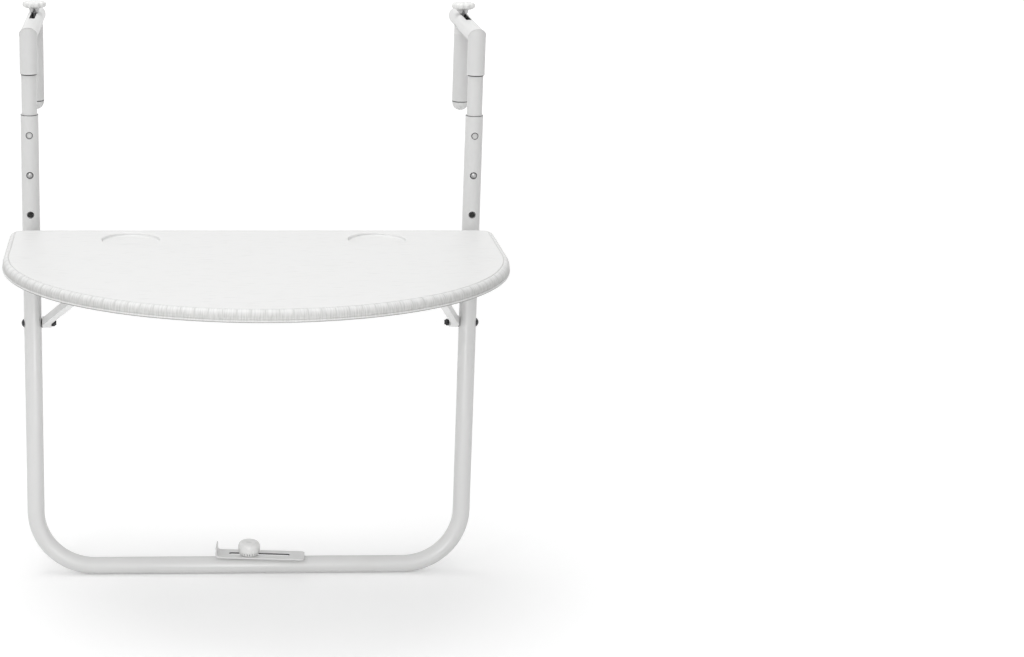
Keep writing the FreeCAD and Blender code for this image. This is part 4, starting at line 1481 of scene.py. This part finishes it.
@dataclass
class ChannelBrace:
    """Slanted channels that carry the table, with rounded lugs and a slimmer middle.

    Places and sizes are those of the right one, drawn along -Y from its pivot before it is tilted.
    """

    pivot: Point = (0.2569, POST_Y, PIVOT_Z)
    pin: Point = (0.2086, -0.258, -0.2492)
    lug_width: float = 0.0110
    lug_height: float = 0.0120
    lug_steps: int = 9
    lug_straight: float = 0.012
    width: float = 0.0088
    height: float = 0.0098
    straight: float = 0.018
    ease: float = 0.010
    wall: float = 0.0014
    floor: float = 0.0015
    hollow_from: float = 0.003
    facing_up: float = 0.7
    open_end: float = 0.011
    hole_place: float = 0.014
    hole_radius: float = 0.0015
    hole_points: int = 24
    soft: float = 0.00035
    soft_angle: float = 35.0
    angle: float = 20.0

    @property
    def rise(self) -> float:
        """How far the pin lies above the pivot."""
        return self.pin[2] - self.pivot[2]

    @property
    def length(self) -> float:
        """Pivot to pin, seen from the side."""
        return math.hypot(self.pin[1] - self.pivot[1], self.rise)

    def _sections(self) -> list[Section]:
        """Lists the bar's sections from the lug at the pivot to the lug at the pin.

        Returns:
            Distance from the pivot, shift in X, half width and half height of each.
        """
        slant = self.pin[0] - self.pivot[0]
        lug, end = self.lug_width / 2, self.lug_height / 2
        arc = quarter_turn(self.lug_steps)[1:-1]
        rows = [(-end * math.cos(turn), 0.0, lug, end * math.sin(turn)) for turn in arc]
        rows += [(0.0, 0.0, lug, end), (self.lug_straight, 0.0, lug, end)]
        near, far = self.straight, self.length - self.straight
        for place in (near, near + self.ease, far - self.ease, far):
            size = (self.width / 2, self.height / 2) if near < place < far else (lug, end)
            rows.append((place, slant * (place - near) / (far - near), *size))
        rows.append((self.length, slant, lug, end))
        for turn in reversed(arc):
            rows.append((self.length + end * math.cos(turn), slant, lug, end * math.sin(turn)))
        return rows

    def _bar(self) -> bpy.types.Object:
        """Makes the solid bar, extruded from a small face through its sections.

        Returns:
            The bar.
        """
        deselect()
        bpy.ops.mesh.primitive_plane_add(size=self.lug_width, rotation=(math.pi / 2, 0.0, 0.0))
        bar = adopt("channel_brace_right")
        with editing(bar):
            bpy.ops.mesh.select_all(action="SELECT")
            for index, section in enumerate(self._sections()):
                if index:
                    bpy.ops.mesh.extrude_region_move()
                self._place(bar, section)
        face_outwards(bar)
        return bar

    @staticmethod
    def _place(bar: bpy.types.Object, section: Section) -> None:
        """Moves the selected face onto a section.

        Args:
            bar: The bar in edit mode.
            section: Distance from the pivot, shift in X, half width and half height.
        """
        along, shift, half_width, half_height = section
        with shaping(bar) as mesh:
            corners = [v for v in mesh.verts if v.select]
            middle = sum((v.co for v in corners), Vector()) / len(corners)
            for vertex in corners:
                side = 1.0 if vertex.co.x > middle.x else -1.0
                level = 1.0 if vertex.co.z > middle.z else -1.0
                vertex.co = Vector((shift + side * half_width, -along, level * half_height))

    def _hollow(self, bar: bpy.types.Object) -> None:
        """Opens the bar from above, and right through at the pin.

        Args:
            bar: The solid bar.
        """

        def on_top(face: bmesh.types.BMFace) -> bool:
            """Whether a face is part of the upper side, without the lug's round end at the pivot."""
            along = -face.calc_center_median().y - self.hollow_from
            return face.normal.z > self.facing_up and 0.0 < along < self.length

        with editing(bar):
            select_faces(bar, on_top)
            bpy.ops.mesh.inset(thickness=self.wall, use_even_offset=True)
            down = (0.0, 0.0, self.floor - self.height)
            bpy.ops.mesh.extrude_region_move(TRANSFORM_OT_translate={"value": down})
        deselect()
        reach = self.open_end + self.lug_height
        place = (self.pin[0] - self.pivot[0], -self.length - (reach / 2 - self.open_end), 0.0)
        bpy.ops.mesh.primitive_cube_add(size=1.0, location=place)
        cutter = bpy.context.object
        cutter.scale = (self.lug_width - 2 * self.wall, reach, 2 * self.lug_height)
        apply_all(cutter)
        cut(bar, cutter, "DIFFERENCE")

    def _drill(self, bar: bpy.types.Object) -> None:
        """Drills the small hole in the outer side.

        Args:
            bar: The hollow bar.
        """
        centre = (0.0, -self.hole_place, 0.0)
        drill = disc("drill", self.hole_points, self.hole_radius, centre)
        raise_profile(drill, centre, [(1.0, 0.0), (1.0, self.lug_width)])
        lay(drill, centre, Axis.X)
        cut(bar, drill, "DIFFERENCE")

    def build(self, palette: Palette) -> None:
        """Makes both braces in place of their nodes.

        Args:
            palette: The materials.
        """
        bar = self._bar()
        self._hollow(bar)
        self._drill(bar)
        soften(bar, self.soft, self.soft_angle)
        tilt = math.atan2(self.rise, self.pivot[1] - self.pin[1])
        bar.rotation_euler = (-tilt, 0.0, 0.0)
        bar.location = self.pivot
        apply_all(bar)
        twin = mirror_piece(bar, "channel_brace_left")
        for piece, name in ((bar, "brace_right"), (twin, "brace_left")):
            settle(piece, palette, Slot.WHITE_STEEL, name, [name], self.angle)


# Finishes of the part's own nodes


@dataclass
class Steelwork:
    """The part's own nodes that stay as they are and take a finish."""

    nodes: Mapping[str, bpy.types.Object]
    slots: Mapping[str, str]

    def dress(self, palette: Palette) -> None:
        """Gives each node its material.

        Args:
            palette: The materials.
        """
        for name, node in self.nodes.items():
            palette.coat(node, self.slots[name])
        # The arm tubes and the clamp's plate take the coatings with painted shade.
        for side in Side:
            palette.coat(self.nodes[f"arm_tube_{side.word}"], palette.open_tube.title)
        palette.coat(self.nodes["clamp_plate"], palette.slotted_plate.title)
        LOG.info("dressed %d nodes", len(self.nodes))


# Stage


@dataclass(frozen=True)
class Lamp:
    """A square studio lamp that is aimed at a point."""

    name: str
    place: Point
    aim: Point
    size: float
    power: float

    def hang(self) -> None:
        """Adds the lamp."""
        light = bpy.data.lights.new(self.name, "AREA")
        light.shape = "SQUARE"
        light.size = self.size
        light.energy = self.power
        lamp = bpy.data.objects.new(self.name, light)
        lamp.location = self.place
        lamp.rotation_mode = "QUATERNION"
        lamp.rotation_quaternion = (Vector(self.aim) - Vector(self.place)).to_track_quat("-Z", "Y")
        lamp.visible_camera = False
        bpy.context.scene.collection.objects.link(lamp)


@dataclass
class Studio:
    """White floor, white surroundings and soft lamps overhead and in front.

    Glows and fills are strengths, shades are shares of the fill that are missing on one side. The ranges say
    where one turns into the other: the glow's from the origin, the others' as parts of the ray's direction.
    """

    floor_z: float = -0.6915
    floor_size: float = 60.0
    floor_color: Color = (0.85, 0.85, 0.85)
    near_glow: float = 0.255
    far_glow: float = 0.60
    glow_range: Range = (0.8, 4.0)
    front_fill: float = 0.88
    back_fill: float = 0.62
    away_range: Range = (-0.6, 0.6)
    left_shade: float = 0.12
    right_shade: float = 0.42
    across_end: float = 0.8
    lamps: tuple[Lamp, ...] = (
        Lamp("key", (-0.3, -0.5, 2.3), (0.0, -0.1, -0.3), 1.8, 32.0),
        Lamp("front", (-0.1, -2.4, 0.5), (0.0, 0.0, -0.45), 1.2, 4.5),
        Lamp("low", (0.0, -0.75, -0.6), (0.0, 0.0, -0.68), 0.12, 0.95),
        Lamp("spark", (-1.6, -2.2, 1.3), (0.0, -0.1, -0.3), 0.22, 4.0),
    )

    def build(self) -> None:
        """Sets up floor, world and lamps."""
        self._floor()
        self._world()
        for lamp in self.lamps:
            lamp.hang()

    @staticmethod
    def _seen(graph: Graph) -> Wire:
        """Tells rays that show what they hit from those that carry light.

        Args:
            graph: The graph of the floor or the world.

        Returns:
            1 for camera, glossy and transmission rays, 0 for others.
        """
        names = ("Is Camera Ray", "Is Glossy Ray", "Is Transmission Ray")
        camera, glossy, through = (graph.node("ShaderNodeLightPath", {}, {}, name) for name in names)
        return (camera + glossy + through).clamped()

    def _floor(self) -> None:
        """Adds the floor, which glows for rays that see it, more far from the part, and keeps the shadow."""
        deselect()
        bpy.ops.mesh.primitive_plane_add(size=self.floor_size, location=(0.0, 0.0, self.floor_z))
        floor = adopt("floor")
        material = bpy.data.materials.new("floor")
        material.use_nodes = True
        graph = Graph(material.node_tree)
        distance = graph.vector("LENGTH", graph.place((1.0, 1.0, 0.0)), output="Value")
        glow = self.near_glow + graph.between(distance, *self.glow_range) * (self.far_glow - self.near_glow)
        matt = graph.node("ShaderNodeBsdfDiffuse", {}, {"Color": (*self.floor_color, 1.0)})
        light = graph.node("ShaderNodeEmission", {}, {"Strength": self._seen(graph) * glow})
        both = graph.node("ShaderNodeAddShader", {}, {0: matt, 1: light})
        graph.node("ShaderNodeOutputMaterial", {}, {"Surface": both})
        floor.data.materials.append(material)

    def _world(self) -> None:
        """Adds the surroundings, white to look at, with a fill that is weaker from behind and the sides."""
        world = bpy.data.worlds.new("studio")
        world.use_nodes = True
        bpy.context.scene.world = world
        graph = Graph(world.node_tree)
        direction = graph.node("ShaderNodeTexCoord", {}, {}, "Generated")
        across, away = graph.part(direction, "X"), graph.part(direction, "Y")
        fill = self.front_fill + graph.between(away, *self.away_range) * (self.back_fill - self.front_fill)
        for end, shade in ((self.across_end, self.right_shade), (-self.across_end, self.left_shade)):
            fill = fill * (1.0 - graph.between(across, 0.0, end) * shade)
        strength = fill + self._seen(graph) * (1.0 - fill)
        back = graph.node("ShaderNodeBackground", {}, {"Color": (1.0, 1.0, 1.0, 1.0), "Strength": strength})
        graph.node("ShaderNodeOutputWorld", {}, {"Surface": back})


@dataclass(frozen=True)
class PhotoCamera:
    """Camera at the photograph's viewing angle."""

    place: Point = (-0.1041, -2.6863, 0.4035)
    pitch: float = 0.249
    yaw: float = 0.041
    roll: float = 0.009
    lens: float = 77.29
    sensor: float = 36.0
    shift: Range = (0.25, -0.0625)
    clip: Range = (0.05, 100.0)

    def set_up(self) -> None:
        """Adds the camera and makes it the scene's."""
        data = bpy.data.cameras.new("photo_camera")
        data.lens = self.lens
        data.sensor_width = self.sensor
        data.shift_x, data.shift_y = self.shift
        data.clip_start, data.clip_end = self.clip
        camera = bpy.data.objects.new("photo_camera", data)
        turn = Matrix.Rotation(-self.yaw, 4, "Z") @ Matrix.Rotation(math.pi / 2 - self.pitch, 4, "X")
        camera.matrix_world = Matrix.Translation(self.place) @ turn @ Matrix.Rotation(self.roll, 4, "Z")
        bpy.context.scene.collection.objects.link(camera)
        bpy.context.scene.camera = camera


def main() -> None:
    """Builds the pieces, the finishes and the stage."""
    logging.basicConfig(level=logging.INFO, format="%(name)s: %(message)s")
    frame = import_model()
    bpy.context.scene.view_settings.view_transform = "Standard"
    palette = Palette()
    slots = {row["node"]: row["material_slot"] for row in frame["record"]["subparts"]}
    Steelwork(frame["nodes"], slots).dress(palette)
    MouldedTop().build(palette, frame["nodes"])
    ElbowWeld().build(palette)
    ChannelBrace().build(palette)
    for ring in edge_rings():
        ring.build(palette)
    StarKnob().build(palette)
    ToothedKnob().build(palette)
    Studio().build()
    PhotoCamera().set_up()


if __name__ == "__main__":
    main()
